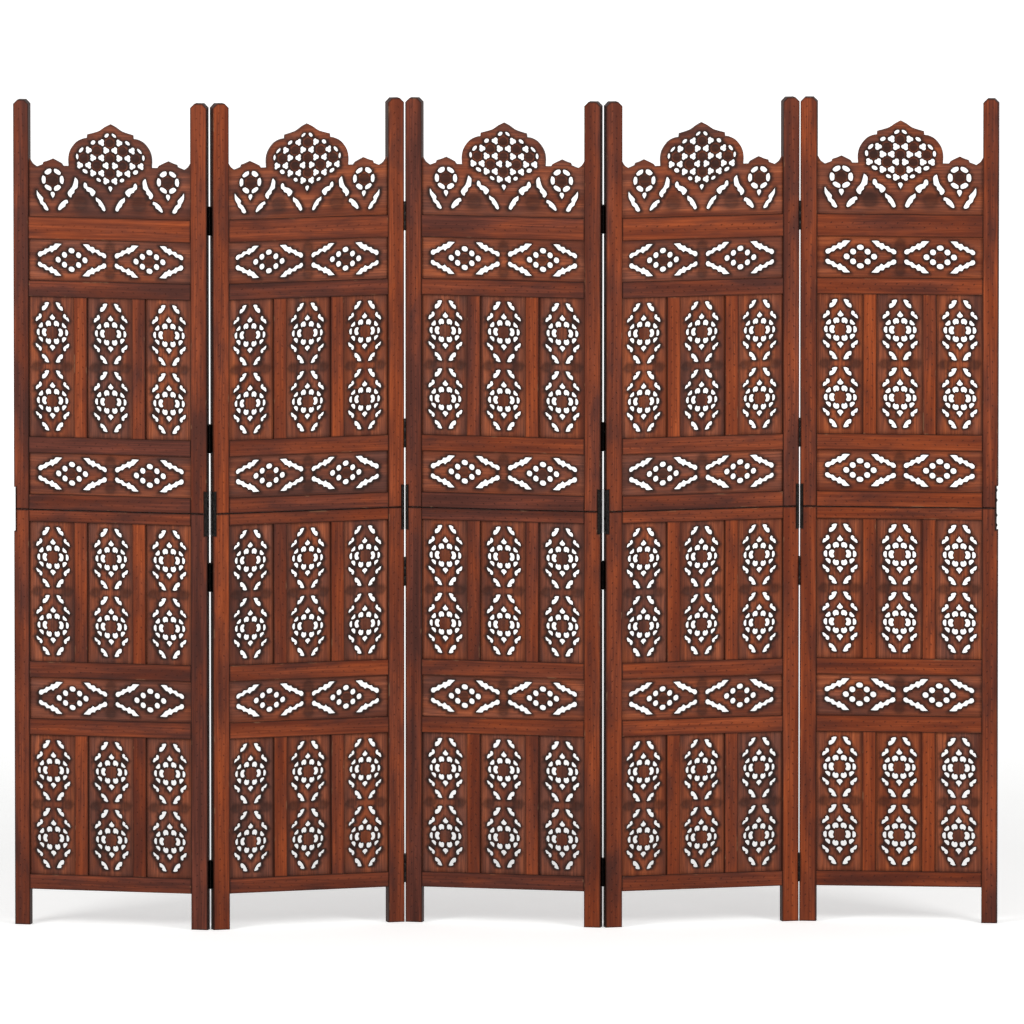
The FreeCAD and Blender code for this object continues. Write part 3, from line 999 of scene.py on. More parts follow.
@dataclass
class PiercedBoards:
    """The pierced boards of one panel: nine lattices, three friezes and the crest."""

    thickness: float = 10.0
    seat: float = 4.5
    lattice_width: float = 92.13
    lattice_height: float = LATTICE_HEIGHT
    lattice_columns: tuple[float, ...] = (-118.93, 0.0, 118.93)
    lattice_levels: tuple[float, ...] = LATTICE_LEVELS
    medallion_rise: float = 68.0
    opening_width: float = OPENING_WIDTH
    frieze_height: float = FRIEZE_HEIGHT
    frieze_levels: tuple[float, ...] = FRIEZE_LEVELS
    motif_shift: float = 79.5
    crest_level: float = CREST_LEVEL
    crest_edge: float = 1.0
    arch_x: float = 117.6
    arch_z: float = 73.1
    frieze_boss_radius: float = 9.2
    crest_boss_radius: float = 8.6
    arch_boss_radius: float = 11.5
    lattice_gouge: Gouge = Gouge(30, 0, 10, 7.5, 0.62, 4.0)
    frieze_gouge: Gouge = Gouge(0, 25.5, 8.5, 10, 0.6, 5.0)
    crest_gouge: Gouge = Gouge(60, 28, 13, 13, 0.6, 9.0)
    lattice_boss_shade: float = 0.42
    frieze_boss_shade: float = 0.68
    crest_boss_shade: float = 0.82
    # Shade painted along the boards' seats, where the frame stands proud, and along the crest's whole edge.
    lattice_seat_painted_shade: float = 0.42
    frieze_seat_painted_shade: float = 0.22
    crest_seat_painted_shade: float = 0.5
    # Shade painted on the crest's sides.
    crest_side_painted_shade: float = 0.6
    crest_burn_reach: float = 3.0
    tone_lean: float = 0.05
    tone_spread: float = 0.22
    medallion: Medallion = field(default_factory=Medallion)

    def boss(self, x: float, z: float, radius: float, shade: float) -> Relief:
        """Return a low carved boss of six petals, as dark as its shade."""
        return Relief(oval(x, z, radius, radius, sides=24), BOSS_RINGS, shade, petals=6, ripple=0.12)

    def lattice(self) -> Skin:
        """Carve a lattice board: two medallions, their bosses, and gouged bars between them.

        Returns:
            The board's surface about its middle.
        """
        half_width = self.lattice_width / 2 + self.seat
        half_height = self.lattice_height / 2 + self.seat
        holes = []
        reliefs = []
        for rise in (self.medallion_rise, -self.medallion_rise):
            holes += moved(self.medallion.cuts(), 0, rise)
            reliefs.append(self.boss(0, rise, self.medallion.boss_radius, self.lattice_boss_shade))
        reliefs += [self.lattice_gouge.relief(side=side) for side in (-1, 1)]
        outline = rectangle(-half_width, -half_height, half_width, half_height)
        return Board(
            outline, self.thickness, holes, reliefs, seat=self.seat, seat_painted_shade=self.lattice_seat_painted_shade
        ).skin()

    def frieze(self) -> Skin:
        """Carve a frieze board: two motifs of eight round holes and four slanting leaves.

        Returns:
            The board's surface about its middle.
        """
        leaf = Outline(
            (
                (19.5, 31.8), (29.5, 32.4), (34.8, 31.2), (37.2, 27.4), (43.6, 27.2), (47.2, 22),
                (54.2, 21.4), (58, 16.6), (65, 15.6), (69.5, 11.2), (68.3, 5.9), (63, 5.2), (58, 9.4),
                (53.4, 9.8), (48.6, 14.6), (44.4, 16.4), (40.2, 13.6), (35.2, 18.8), (31, 19.8), (26, 25.6),
            ),
            (0,),
        ).curve()
        motif = [
            *[line * (1, sz) for line in (leaf + (2, 0), leaf * (-1, 1)) for sz in (-1, 1)],
            *[oval(sx * 14.4, sz * 9.8, 6.1, 6.1) for sx in (-1, 1) for sz in (-1, 1)],
            *[oval(0, sz * 18.5, 7, 5.6) for sz in (-1, 1)],
            *[oval(sx * 27.3, 0, 6.1, 6.1) for sx in (-1, 1)],
        ]
        holes = both_sides(moved(motif, -self.motif_shift, 0))
        reliefs = [
            self.boss(side * self.motif_shift, 0, self.frieze_boss_radius, self.frieze_boss_shade)
            for side in (-1, 1)
        ]
        reliefs += [self.frieze_gouge.relief(end=end) for end in (-1, 1)]
        half_width = self.opening_width / 2 + self.seat
        half_height = self.frieze_height / 2 + self.seat
        outline = rectangle(-half_width, -half_height, half_width, half_height)
        return Board(
            outline, self.thickness, holes, reliefs, seat=self.seat, seat_painted_shade=self.frieze_seat_painted_shade
        ).skin()

    def crest_outline(self) -> Array:
        """Draw the crest's edge: ogee dome, ears, small side arches, hollows to the posts and a seated foot.

        Returns:
            Points along the line, above the rail's top edge.
        """
        right = (
            (0, 186.3), (10.5, 180.9), (22.2, 172.9), (33.9, 168.7), (46.4, 165.3), (47.1, 158.1),
            (56.6, 156.5), (67.8, 150.7), (76.9, 140.5), (82.6, 129.5), (85, 116.1), (84.3, 101.3),
            (96.2, 101.3), (99.6, 106.3), (107.3, 110.3), (117.7, 115.3), (127.5, 111.1), (135.8, 108.5),
            (137.4, 103.9), (150.5, 98.9), (159, 105.1), (165, 115.3),
        )
        sharp_right = (0, 4, 5, 11, 12, 13, 15, 17, 18, 19, 21)
        reach = self.opening_width / 2 + self.seat
        shoulder = right[-1][1]
        foot = ((reach, shoulder), (reach, -self.seat), (-reach, -self.seat), (-reach, shoulder))
        left = tuple((-x, z) for x, z in right[:0:-1])
        first_left = len(right) + len(foot)
        corners = (
            *sharp_right,
            *range(len(right), first_left),
            *[first_left + len(right) - 1 - number for number in sharp_right if number],
        )
        return Outline(right + foot + left, corners).curve()

    def crest(self) -> Skin:
        """Carve the crest: honeycomb of trefoils under the dome, a rosette in each side arch, and leaves.

        Returns:
            The board's surface above its rail's top edge.
        """
        trefoils = (
            (17.8, 149.4, 0), (8.9, 134.15, 60), (44.5, 134.15, 60), (17.8, 118.9, 0), (35.6, 118.9, 60),
            (8.9, 103.65, 0), (44.5, 103.65, 0), (62.4, 103.65, 60), (17.8, 88.4, 0), (35.6, 88.4, 60),
            (8.9, 73.15, 60),
        )
        lenses = (
            (7.4, 163.7, 6, 3.4, -35), (35.1, 149.3, 6, 4, -30), (59.4, 133.8, 7, 3.4, -45),
            (67.5, 120.5, 3.4, 6, 0), (51.5, 91.6, 6.4, 4.3, 25), (23.8, 75, 5.6, 3.8, 25),
        )
        leaves = (
            ((72.1, 79.5), (65.4, 73.4), (65.6, 63.5), (66.6, 58.4), (72, 54.4), (72.9, 48.9), (77.6, 44.6),
             (78.6, 40), (82.4, 38.4), (87.2, 43.3), (87.6, 48.2), (83.6, 53.8), (79.4, 58.8), (76.6, 65),
             (74.6, 72.4)),
            ((87, 33.8), (85.6, 28.4), (90, 26), (91.6, 21.2), (96.8, 17.6), (101, 14), (105.7, 12.4),
             (107.6, 15.3), (105.7, 20.8), (102, 26.4), (96.8, 30.9), (91.6, 33.6)),
            ((29.5, 51), (34.4, 56.4), (40, 59.6), (45.5, 61), (47.4, 67), (51.9, 69.6), (55.2, 65.8),
             (54.9, 59.2), (50.8, 56), (48.4, 51.5), (42.9, 49.4), (41.2, 44.9), (37.5, 41.8), (32.4, 45)),
            ((30, 41), (24.8, 38.2), (19.4, 34.8), (14.2, 27.8), (11, 21.7), (9.3, 15.3), (13.2, 12.4),
             (17.4, 15.1), (19.8, 19.6), (24.1, 23.8), (25.8, 29.2), (30, 32.8)),
            ((150.4, 53), (145.2, 46), (140, 40.6), (136.2, 35.8), (137, 30.4), (132, 26), (128.7, 20.6),
             (125.6, 14), (128.5, 11.2), (132.6, 12.1), (136.4, 15.3), (138.3, 20.4), (143.6, 24.9),
             (145.7, 31.1), (148.6, 35.8), (151, 42.6)),
        )
        sector = Outline(
            tuple(
                (radius * math.cos(math.radians(turn)), radius * math.sin(math.radians(turn)))
                for radius, turn in (
                    (15, -20), (19.3, -25), (22.8, -20), (23.6, 0),
                    (22.8, 20), (19.3, 25), (15, 20), (13.6, 0),
                )
            )
        ).curve(2)
        arch_drop = Outline(((0, 35.1), (4.9, 43.5), (3.2, 48.7), (-3.2, 48.7), (-4.9, 43.5)), (0,)).curve()
        arch_middle = (self.arch_x, self.arch_z)
        right = [
            *[trefoil(*place) for place in trefoils],
            *[oval(*place) for place in lenses],
            *[Outline(points).curve() for points in leaves],
            *[
                turn_about_z(np.pad(sector, ((0, 0), (0, 1))), 60.0 * sixth)[:, :2] + arch_middle
                for sixth in range(6)
            ],
            arch_drop + (self.arch_x, 0),
        ]
        drop = Outline(((0, 50), (4.8, 58.5), (2.6, 62.5), (-2.6, 62.5), (-4.8, 58.5)), (0,)).curve()
        bosses = [(0, 118.9), (0, 149.4), (0, 88.4)]
        side_bosses = ((26.4, 134.15), (26.4, 103.65), (52.8, 118.9))
        bosses += [(side * x, z) for side in (-1, 1) for x, z in side_bosses]
        reliefs = [self.boss(x, z, self.crest_boss_radius, self.crest_boss_shade) for x, z in bosses]
        reliefs += [self.crest_gouge.relief(side=side) for side in (-1, 1)]
        reliefs += [
            self.boss(side * self.arch_x, self.arch_z, self.arch_boss_radius, self.crest_boss_shade)
            for side in (-1, 1)
        ]
        return Board(
            self.crest_outline(),
            self.thickness,
            [*both_sides(right), drop],
            reliefs,
            edge=self.crest_edge,
            burn_reach=self.crest_burn_reach,
            side_painted_shade=self.crest_side_painted_shade,
            seat_painted_shade=self.crest_seat_painted_shade,
        ).skin()

    def build(self, masters: "Masters", panel: "Panel", finish: bpy.types.Material) -> list[bpy.types.Object]:
        """Make the panel's three board pieces from the carved masters.

        Args:
            masters: Carved boards that every panel repeats.
            panel: Where the panel stands and how its wood is toned.
            finish: Material of the boards.

        Returns:
            Pieces of lattices, friezes and crest.
        """
        lattice_rise = self.lattice_height / 2
        frieze_rise = self.frieze_height / 2
        lattices = [(x, level + lattice_rise) for level in self.lattice_levels for x in self.lattice_columns]
        friezes = [(0, level + frieze_rise) for level in self.frieze_levels]
        pieces = []
        for part, skin, grain, places in (
            ("lattices", masters.lattice, GrainRun.UPRIGHT, lattices),
            ("friezes", masters.frieze, GrainRun.LEVEL, friezes),
            ("crest", masters.crest, GrainRun.LEVEL, [(0, self.crest_level)]),
        ):
            members = [
                Member(skin, (x, 0, z), grain=grain, tone=panel.draw_tone(self.tone_lean, self.tone_spread))
                for x, z in places
            ]
            pieces.append(panel.piece(part, "fretwork", members, finish, "pierced_boards"))
        return pieces


@dataclass
class FrameBars:
    """The posts, rails and upright bars of one panel, with eased edges and a zigzag of chip-carved nicks."""

    thickness: float = 22.0
    post_inner_edge: float = OPENING_WIDTH / 2
    fold_post_edge: float = 198.3
    end_post_edge: float = 196.0
    muntin_width: float = 26.8
    muntin_columns: tuple[float, ...] = (-59.467, 59.467)
    muntin_levels: tuple[float, ...] = LATTICE_LEVELS
    muntin_height: float = LATTICE_HEIGHT
    muntin_lean: float = 0.28
    opening_width: float = OPENING_WIDTH
    lower_top: float = LOWER_TOP
    upper_bottom: float = UPPER_BOTTOM
    post_top: float = 1650.0
    post_chamfer: float = 8.5
    post_edge: float = 1.5
    bar_edge: float = 0.8
    # Width of the rubbed band along the bars' faces, which also takes painted shade.
    rubbed_shaded_reach: float = 3.3
    fold_notch_depth: float = 5.8
    end_notch_depth: float = 4.5
    plate_run: float = 43.25
    lower_rails: tuple[tuple[float, float], ...] = LOWER_RAILS
    upper_rails: tuple[tuple[float, float], ...] = UPPER_RAILS
    face_cell: float = 12.0
    # Shade painted on the bars' sides, in the grooves beside the boards and in the gaps at the folds.
    side_painted_shade: float = 0.92
    nick_step: float = 11.0
    nick_sway: float = 4.5
    nick_half_width: float = 1.6
    nick_half_length: float = 3.0
    nick_tilt: float = 35.0
    nick_sides: int = 6
    bare_ends: float = 20.0
    stray_along: float = 1.0
    stray_across: float = 0.8
    leg_seed: int = 31
    post_seed: int = 41
    muntin_seed: int = 51

    def nicks(self, length: float, upright: bool, seed: int, shade: float) -> list[Relief]:
        """Cut a zigzag chain of small nicks along a bar's middle.

        The middle of nick k is k steps along and sways from side to side with the sign of (-1) to the k.

        Args:
            length: Length of the bar.
            upright: Whether the bar stands.
            seed: Start of the draw of small shifts.
            shade: How dark the nicks are.

        Returns:
            The nicks, about the bar's middle.
        """
        draw = np.random.default_rng(seed)
        number = int((length - self.bare_ends) / self.nick_step)
        steps = np.arange(number) - (number - 1) / 2
        along = steps * self.nick_step + draw.uniform(-self.stray_along, self.stray_along, number)
        sway = np.where(np.arange(number) % 2, 1, -1)
        across = sway * self.nick_sway + draw.uniform(-self.stray_across, self.stray_across, number)
        half_sizes = (self.nick_half_length, self.nick_half_width)
        places = (along, across)
        if upright:
            half_sizes = half_sizes[::-1]
            places = places[::-1]
        return [
            Relief(oval(x, z, *half_sizes, self.nick_tilt * way, self.nick_sides), NICK_RINGS, shade)
            for x, z, way in zip(*places, sway)
        ]

    def bar(
        self, outline: Array, length: float, upright: bool, seed: int, shade: float, edge: float
    ) -> Skin:
        """Work out one bar about its middle, with nicks on both faces.

        Args:
            outline: Edge of the bar.
            length: Length that carries nicks.
            upright: Whether the bar stands.
            seed: Start of the draw of small shifts.
            shade: How dark the nicks are.
            edge: Width of the eased edges.

        Returns:
            The bar's surface.
        """
        return Board(
            outline,
            self.thickness,
            reliefs=self.nicks(length, upright, seed, shade),
            edge=edge,
            rubbed_shaded_margin=self.rubbed_shaded_reach - edge,
            cell=self.face_cell,
            side_painted_shade=self.side_painted_shade,
            edge_wear=1.0,
        ).skin()

    def stiles(self, panel: "Panel") -> tuple[list[Member], list[Member]]:
        """Work out the panel's posts, notched for the joint plates and chamfered at their tops.

        Args:
            panel: Where the panel stands and how its wood is toned.

        Returns:
            Legs of the lower frame and posts of the upper one, the right before the left.
        """
        shade = panel.nick_shade
        low = self.lower_top / 2
        high = (self.post_top - self.upper_bottom) / 2
        level = self.upper_bottom + high
        cut = self.post_chamfer
        run = self.plate_run
        legs = []
        posts = []
        for side, turn in ((1, 0.0), (-1, 180.0)):
            edge, depth = self.fold_post_edge, self.fold_notch_depth
            if panel.at_end(side):
                edge, depth = self.end_post_edge, self.end_notch_depth
            half = (edge - self.post_inner_edge) / 2
            middle = (edge + self.post_inner_edge) / 2
            notch = half - depth
            leg = np.array(
                [
                    (-half, -low), (half, -low), (half, low - run),
                    (notch, low - run), (notch, low), (-half, low),
                ]
            )
            post = np.array(
                [
                    (-half, -high), (notch, -high), (notch, run - high), (half, run - high),
                    (half, high - cut), (half - cut, high), (cut - half, high), (-half, high - cut),
                ]
            )
            leg_skin = self.bar(leg, 2 * low, True, self.leg_seed + side, shade, self.post_edge)
            legs.append(Member(leg_skin, (side * middle, 0, low), turn, tone=panel.draw_tone()))
            post_skin = self.bar(post, 2 * high, True, self.post_seed + side, shade, self.post_edge)
            posts.append(Member(post_skin, (side * middle, 0, level), turn, tone=panel.draw_tone()))
        return legs, posts

    def rails(self, panel: "Panel", levels: tuple[tuple[float, float], ...]) -> list[Member]:
        """Work out the rails of one of the panel's two frames.

        Args:
            panel: Where the panel stands and how its wood is toned.
            levels: Lower and upper edges of the rails.

        Returns:
            The rails, from the lowest up.
        """
        half_width = self.opening_width / 2
        members = []
        for bottom, top in levels:
            half_height = (top - bottom) / 2
            outline = rectangle(-half_width, -half_height, half_width, half_height)
            skin = self.bar(outline, 2 * half_width, False, int(bottom), panel.nick_shade, self.bar_edge)
            place = (0, 0, (top + bottom) / 2)
            members.append(Member(skin, place, grain=GrainRun.LEVEL, tone=panel.draw_tone()))
        return members

    def muntins(self, panel: "Panel") -> list[Member]:
        """Work out the panel's upright bars, which are all alike.

        Args:
            panel: Where the panel stands and how its wood is toned.

        Returns:
            The bars, row by row from the lowest up.
        """
        half_width = self.muntin_width / 2
        half_height = self.muntin_height / 2
        outline = rectangle(-half_width, -half_height, half_width, half_height)
        skin = self.bar(outline, 2 * half_height, True, self.muntin_seed, panel.nick_shade, self.bar_edge)
        return [
            Member(skin, (x, 0, level + half_height), tone=panel.draw_tone(self.muntin_lean))
            for level in self.muntin_levels
            for x in self.muntin_columns
        ]

    def build(self, panel: "Panel", finish: bpy.types.Material) -> list[bpy.types.Object]:
        """Make the panel's five bar pieces.

        Args:
            panel: Where the panel stands and how its wood is toned.
            finish: Material of the bars.

        Returns:
            Pieces of posts, rails and upright bars.
        """
        legs, posts = self.stiles(panel)
        return [
            panel.piece(part, label, members, finish, "carved_frame")
            for part, label, members in (
                ("lower_stiles", "legs", legs),
                ("upper_stiles", "posts", posts),
                ("lower_rails", "bars", self.rails(panel, self.lower_rails)),
                ("upper_rails", "bars", self.rails(panel, self.upper_rails)),
                ("muntins", "bars", self.muntins(panel)),
            )
        ]


# Rings of the screws' heads, as pairs of a share of the outline and a height in millimetres.
SUNK_HEAD = ((0.9, -0.35), (0.86, -0.1), (0.45, -0.06), (0.3, -0.5), (0.0, -0.7))
ROUND_HEAD = ((0.96, 0.5), (0.84, 1.1), (0.58, 1.6), (0.34, 1.8), (0.28, 1.3), (0.0, 1.2))


def screw(x: float, z: float, radius: float, rings: tuple[tuple[float, float], ...] = SUNK_HEAD) -> Relief:
    """Return a screw head with a driven hole in its middle, sunk in a ring groove unless rings are given."""
    return Relief(oval(x, z, radius, radius, sides=18), rings, 0.0, front_only=True)


@dataclass
class JointPlates:
    """The two plates that strap a panel's halves together.

    They are let into its outer edges: thick and a little proud at a fold, thin and sunk at the screen's ends.
    """

    width: float = 22.0
    height: float = 88.0
    level: float = (LOWER_TOP + UPPER_BOTTOM) / 2
    fold_thickness: float = 6.0
    fold_face: float = 198.5
    end_thickness: float = 1.5
    end_face: float = 193.0
    edge: float = 0.4
    face_cell: float = 8.0
    screw_levels: tuple[float, ...] = (-35.0, -15.0, 15.0, 35.0)
    screw_radius: float = 3.6

    def build(self, panel: "Panel", finish: bpy.types.Material) -> bpy.types.Object:
        """Make the panel's pair of plates.

        Args:
            panel: Where the panel stands.
            finish: Material of the plates.

        Returns:
            The piece.
        """
        half_width = self.width / 2
        half_height = self.height / 2
        outline = rectangle(-half_width, -half_height, half_width, half_height)
        members = []
        for side in (-1, 1):
            thickness, face, rings = self.fold_thickness, self.fold_face, SUNK_HEAD
            if panel.at_end(side):
                thickness, face, rings = self.end_thickness, self.end_face, ROUND_HEAD
            screws = [screw(0, level, self.screw_radius, rings) for level in self.screw_levels]
            plate = Board(outline, thickness, reliefs=screws, edge=self.edge, cell=self.face_cell).skin()
            members.append(Member(plate, (side * (face - thickness / 2), 0, self.level), side * 90.0))
        return panel.piece("joint_plates", "straps", members, finish, "blackened_iron")


@dataclass
class Panel:
    """One panel of the screen: where it stands and how its wood is toned."""

    number: int
    heading: float
    tone: float
    nick_shade: float

    def __post_init__(self) -> None:
        """Find the panel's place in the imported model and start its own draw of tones."""
        self.standing = Standing.of_node(f"panel_{self.number}_lattices", self.heading)
        self.draw = np.random.default_rng(TONE_SEED + self.number)

    def at_end(self, side: int) -> bool:
        """Tell whether the panel's left side, -1, or right side, 1, is an end of the screen."""
        return (self.number, side) in SCREEN_ENDS

    def draw_tone(self, lean: float = 0.0, spread: float = 0.34) -> float:
        """Return the tone of one more stick of wood, near the panel's own and leaning warm or cool."""
        return float(np.clip(self.tone + lean + self.draw.uniform(-spread, spread), 0, 1))

    def piece(
        self, part: str, label: str, members: list[Member], finish: bpy.types.Material, slot: str
    ) -> bpy.types.Object:
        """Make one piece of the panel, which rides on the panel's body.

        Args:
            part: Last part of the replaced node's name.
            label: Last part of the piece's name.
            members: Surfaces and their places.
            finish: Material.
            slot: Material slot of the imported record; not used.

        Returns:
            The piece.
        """
        seed = PANEL_SEED_STEP * self.number + GRAIN_SEEDS[part]
        piece = make_piece(f"panel_{self.number}_{part}", label, members, self.standing, finish, seed)
        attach(piece, f"panel_{self.number}")
        return piece


@dataclass
class Masters:
    """Carved boards that every panel repeats."""

    lattice: Skin
    frieze: Skin
    crest: Skin

    @classmethod
    def carve(cls, boards: PiercedBoards) -> "Masters":
        """Carve one of each board."""
        return cls(boards.lattice(), boards.frieze(), boards.crest())


@dataclass
class HingeLine:
    """The four hinges of one fold: pinned leaves, turning leaves and pins."""

    number: int
    barrels: BarrelSide
    pinned_panel: int
    turning_panel: int
    pinned_heading: float
    turning_heading: float
    levels: tuple[float, ...] = (80.0, 675.0, 952.0, 1386.0)
    height: float = 58.0
    leaf_reach: float = 18.0
    leaf_start: float = 2.7
    tab_start: float = 1.5
    leaf_thickness: float = 1.8
    leaf_gap: float = 0.2
    leaf_edge: float = 0.25
    knuckle_radius: float = 2.4
    knuckle_length: float = 19.13
    knuckle_gap: float = 0.3
    knuckle_ease: float = 0.35
    knuckle_sides: int = 20
    bore_radius: float = 1.4
    pin_radius: float = 1.3
    pin_ease: float = 0.4
    pin_sides: int = 14
    screw_radius: float = 2.6
    screw_shift: float = 11.0
    screw_levels: tuple[float, ...] = (9.0, 29.0, 49.0)

    def knuckle(self, level: float) -> Skin:
        """Roll a knuckle with eased rims.

        Args:
            level: Height of its lower end.

        Returns:
            The tube about the hinge's axis.
        """
        outer, inner, ease = self.knuckle_radius, self.bore_radius, self.knuckle_ease
        top = level + self.knuckle_length
        profile = np.array(
            [
                (outer - ease, level), (outer, level + ease), (outer, top - ease), (outer - ease, top),
                (inner, top), (inner, level),
            ]
        )
        return turned_rod(profile, True, self.knuckle_sides)

    def leaf(self, knuckle_levels: tuple[float, ...], on_right: bool) -> list[Member]:
        """Return a leaf about the hinge's axis: a screwed plate with tabs, and its knuckles.

        Args:
            knuckle_levels: Lower ends of the leaf's knuckles.
            on_right: Whether the leaf lies on the right of the axis.

        Returns:
            Plate and knuckles.
        """
        side = -1 if on_right else 1
        start, end, tab, length = self.leaf_start, self.leaf_reach, self.tab_start, self.knuckle_length
        edge = [(end, 0.0), (end, self.height)]
        if len(knuckle_levels) == 2:
            edge += [
                (tab, self.height), (tab, self.height - length), (start, self.height - length),
                (start, length), (tab, length), (tab, 0.0),
            ]
        else:
            level = knuckle_levels[0]
            edge += [
                (start, self.height), (start, level + length), (tab, level + length),
                (tab, level), (start, level), (start, 0.0),
            ]
        outline = np.array(edge) * (side, 1)
        screws = [screw(side * self.screw_shift, level, self.screw_radius) for level in self.screw_levels]
        plate = Board(outline, self.leaf_thickness, reliefs=screws, edge=self.leaf_edge).skin()
        depth = self.leaf_gap + self.leaf_thickness / 2
        members = [Member(plate, (-side * depth, 0, 0), side * 90.0)]
        return members + [Member(self.knuckle(level)) for level in knuckle_levels]

    def build(self, iron: bpy.types.Material, steel: bpy.types.Material) -> list[bpy.types.Object]:
        """Make the fold's three pieces.

        Args:
            iron: Finish of the leaves.
            steel: Finish of the pins.

        Returns:
            Pieces of pinned leaves, turning leaves and pins.
        """
        middle = self.knuckle_length + self.knuckle_gap
        top = self.height - self.knuckle_length
        axis = f"hinge_{self.number}_pins"
        pinned = Standing.of_node(axis, self.pinned_heading + self.barrels.value)
        turning = Standing.of_node(axis, self.turning_heading + self.barrels.value)
        radius, ease = self.pin_radius, self.pin_ease
        profile = np.array(
            [
                (radius - ease, 0.0), (radius, ease),
                (radius, self.height - ease), (radius - ease, self.height),
            ]
        )
        pin = [Member(turned_rod(profile, False, self.pin_sides))]
        pinned_leaf = self.leaf((0.0, top), False)
        turning_leaf = self.leaf((middle,), True)
        pieces = []
        for part, label, slot, parts, finish, standing, panel in (
            ("pinned_leaves", "irons", "blackened_iron", pinned_leaf, iron, pinned, self.pinned_panel),
            ("turning_leaves", "irons", "blackened_iron", turning_leaf, iron, turning, self.turning_panel),
            ("pins", "rods", "hinge_pins", pin, steel, pinned, self.pinned_panel),
        ):
            members = [
                Member(member.skin, (member.shift[0], member.shift[1], level), member.turn)
                for level in self.levels
                for member in parts
            ]
            node = f"hinge_{self.number}_{part}"
            piece = make_piece(node, label, members, standing, finish, HINGE_SEED + self.number)
            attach(piece, f"panel_{panel}")
            pieces.append(piece)
        return pieces


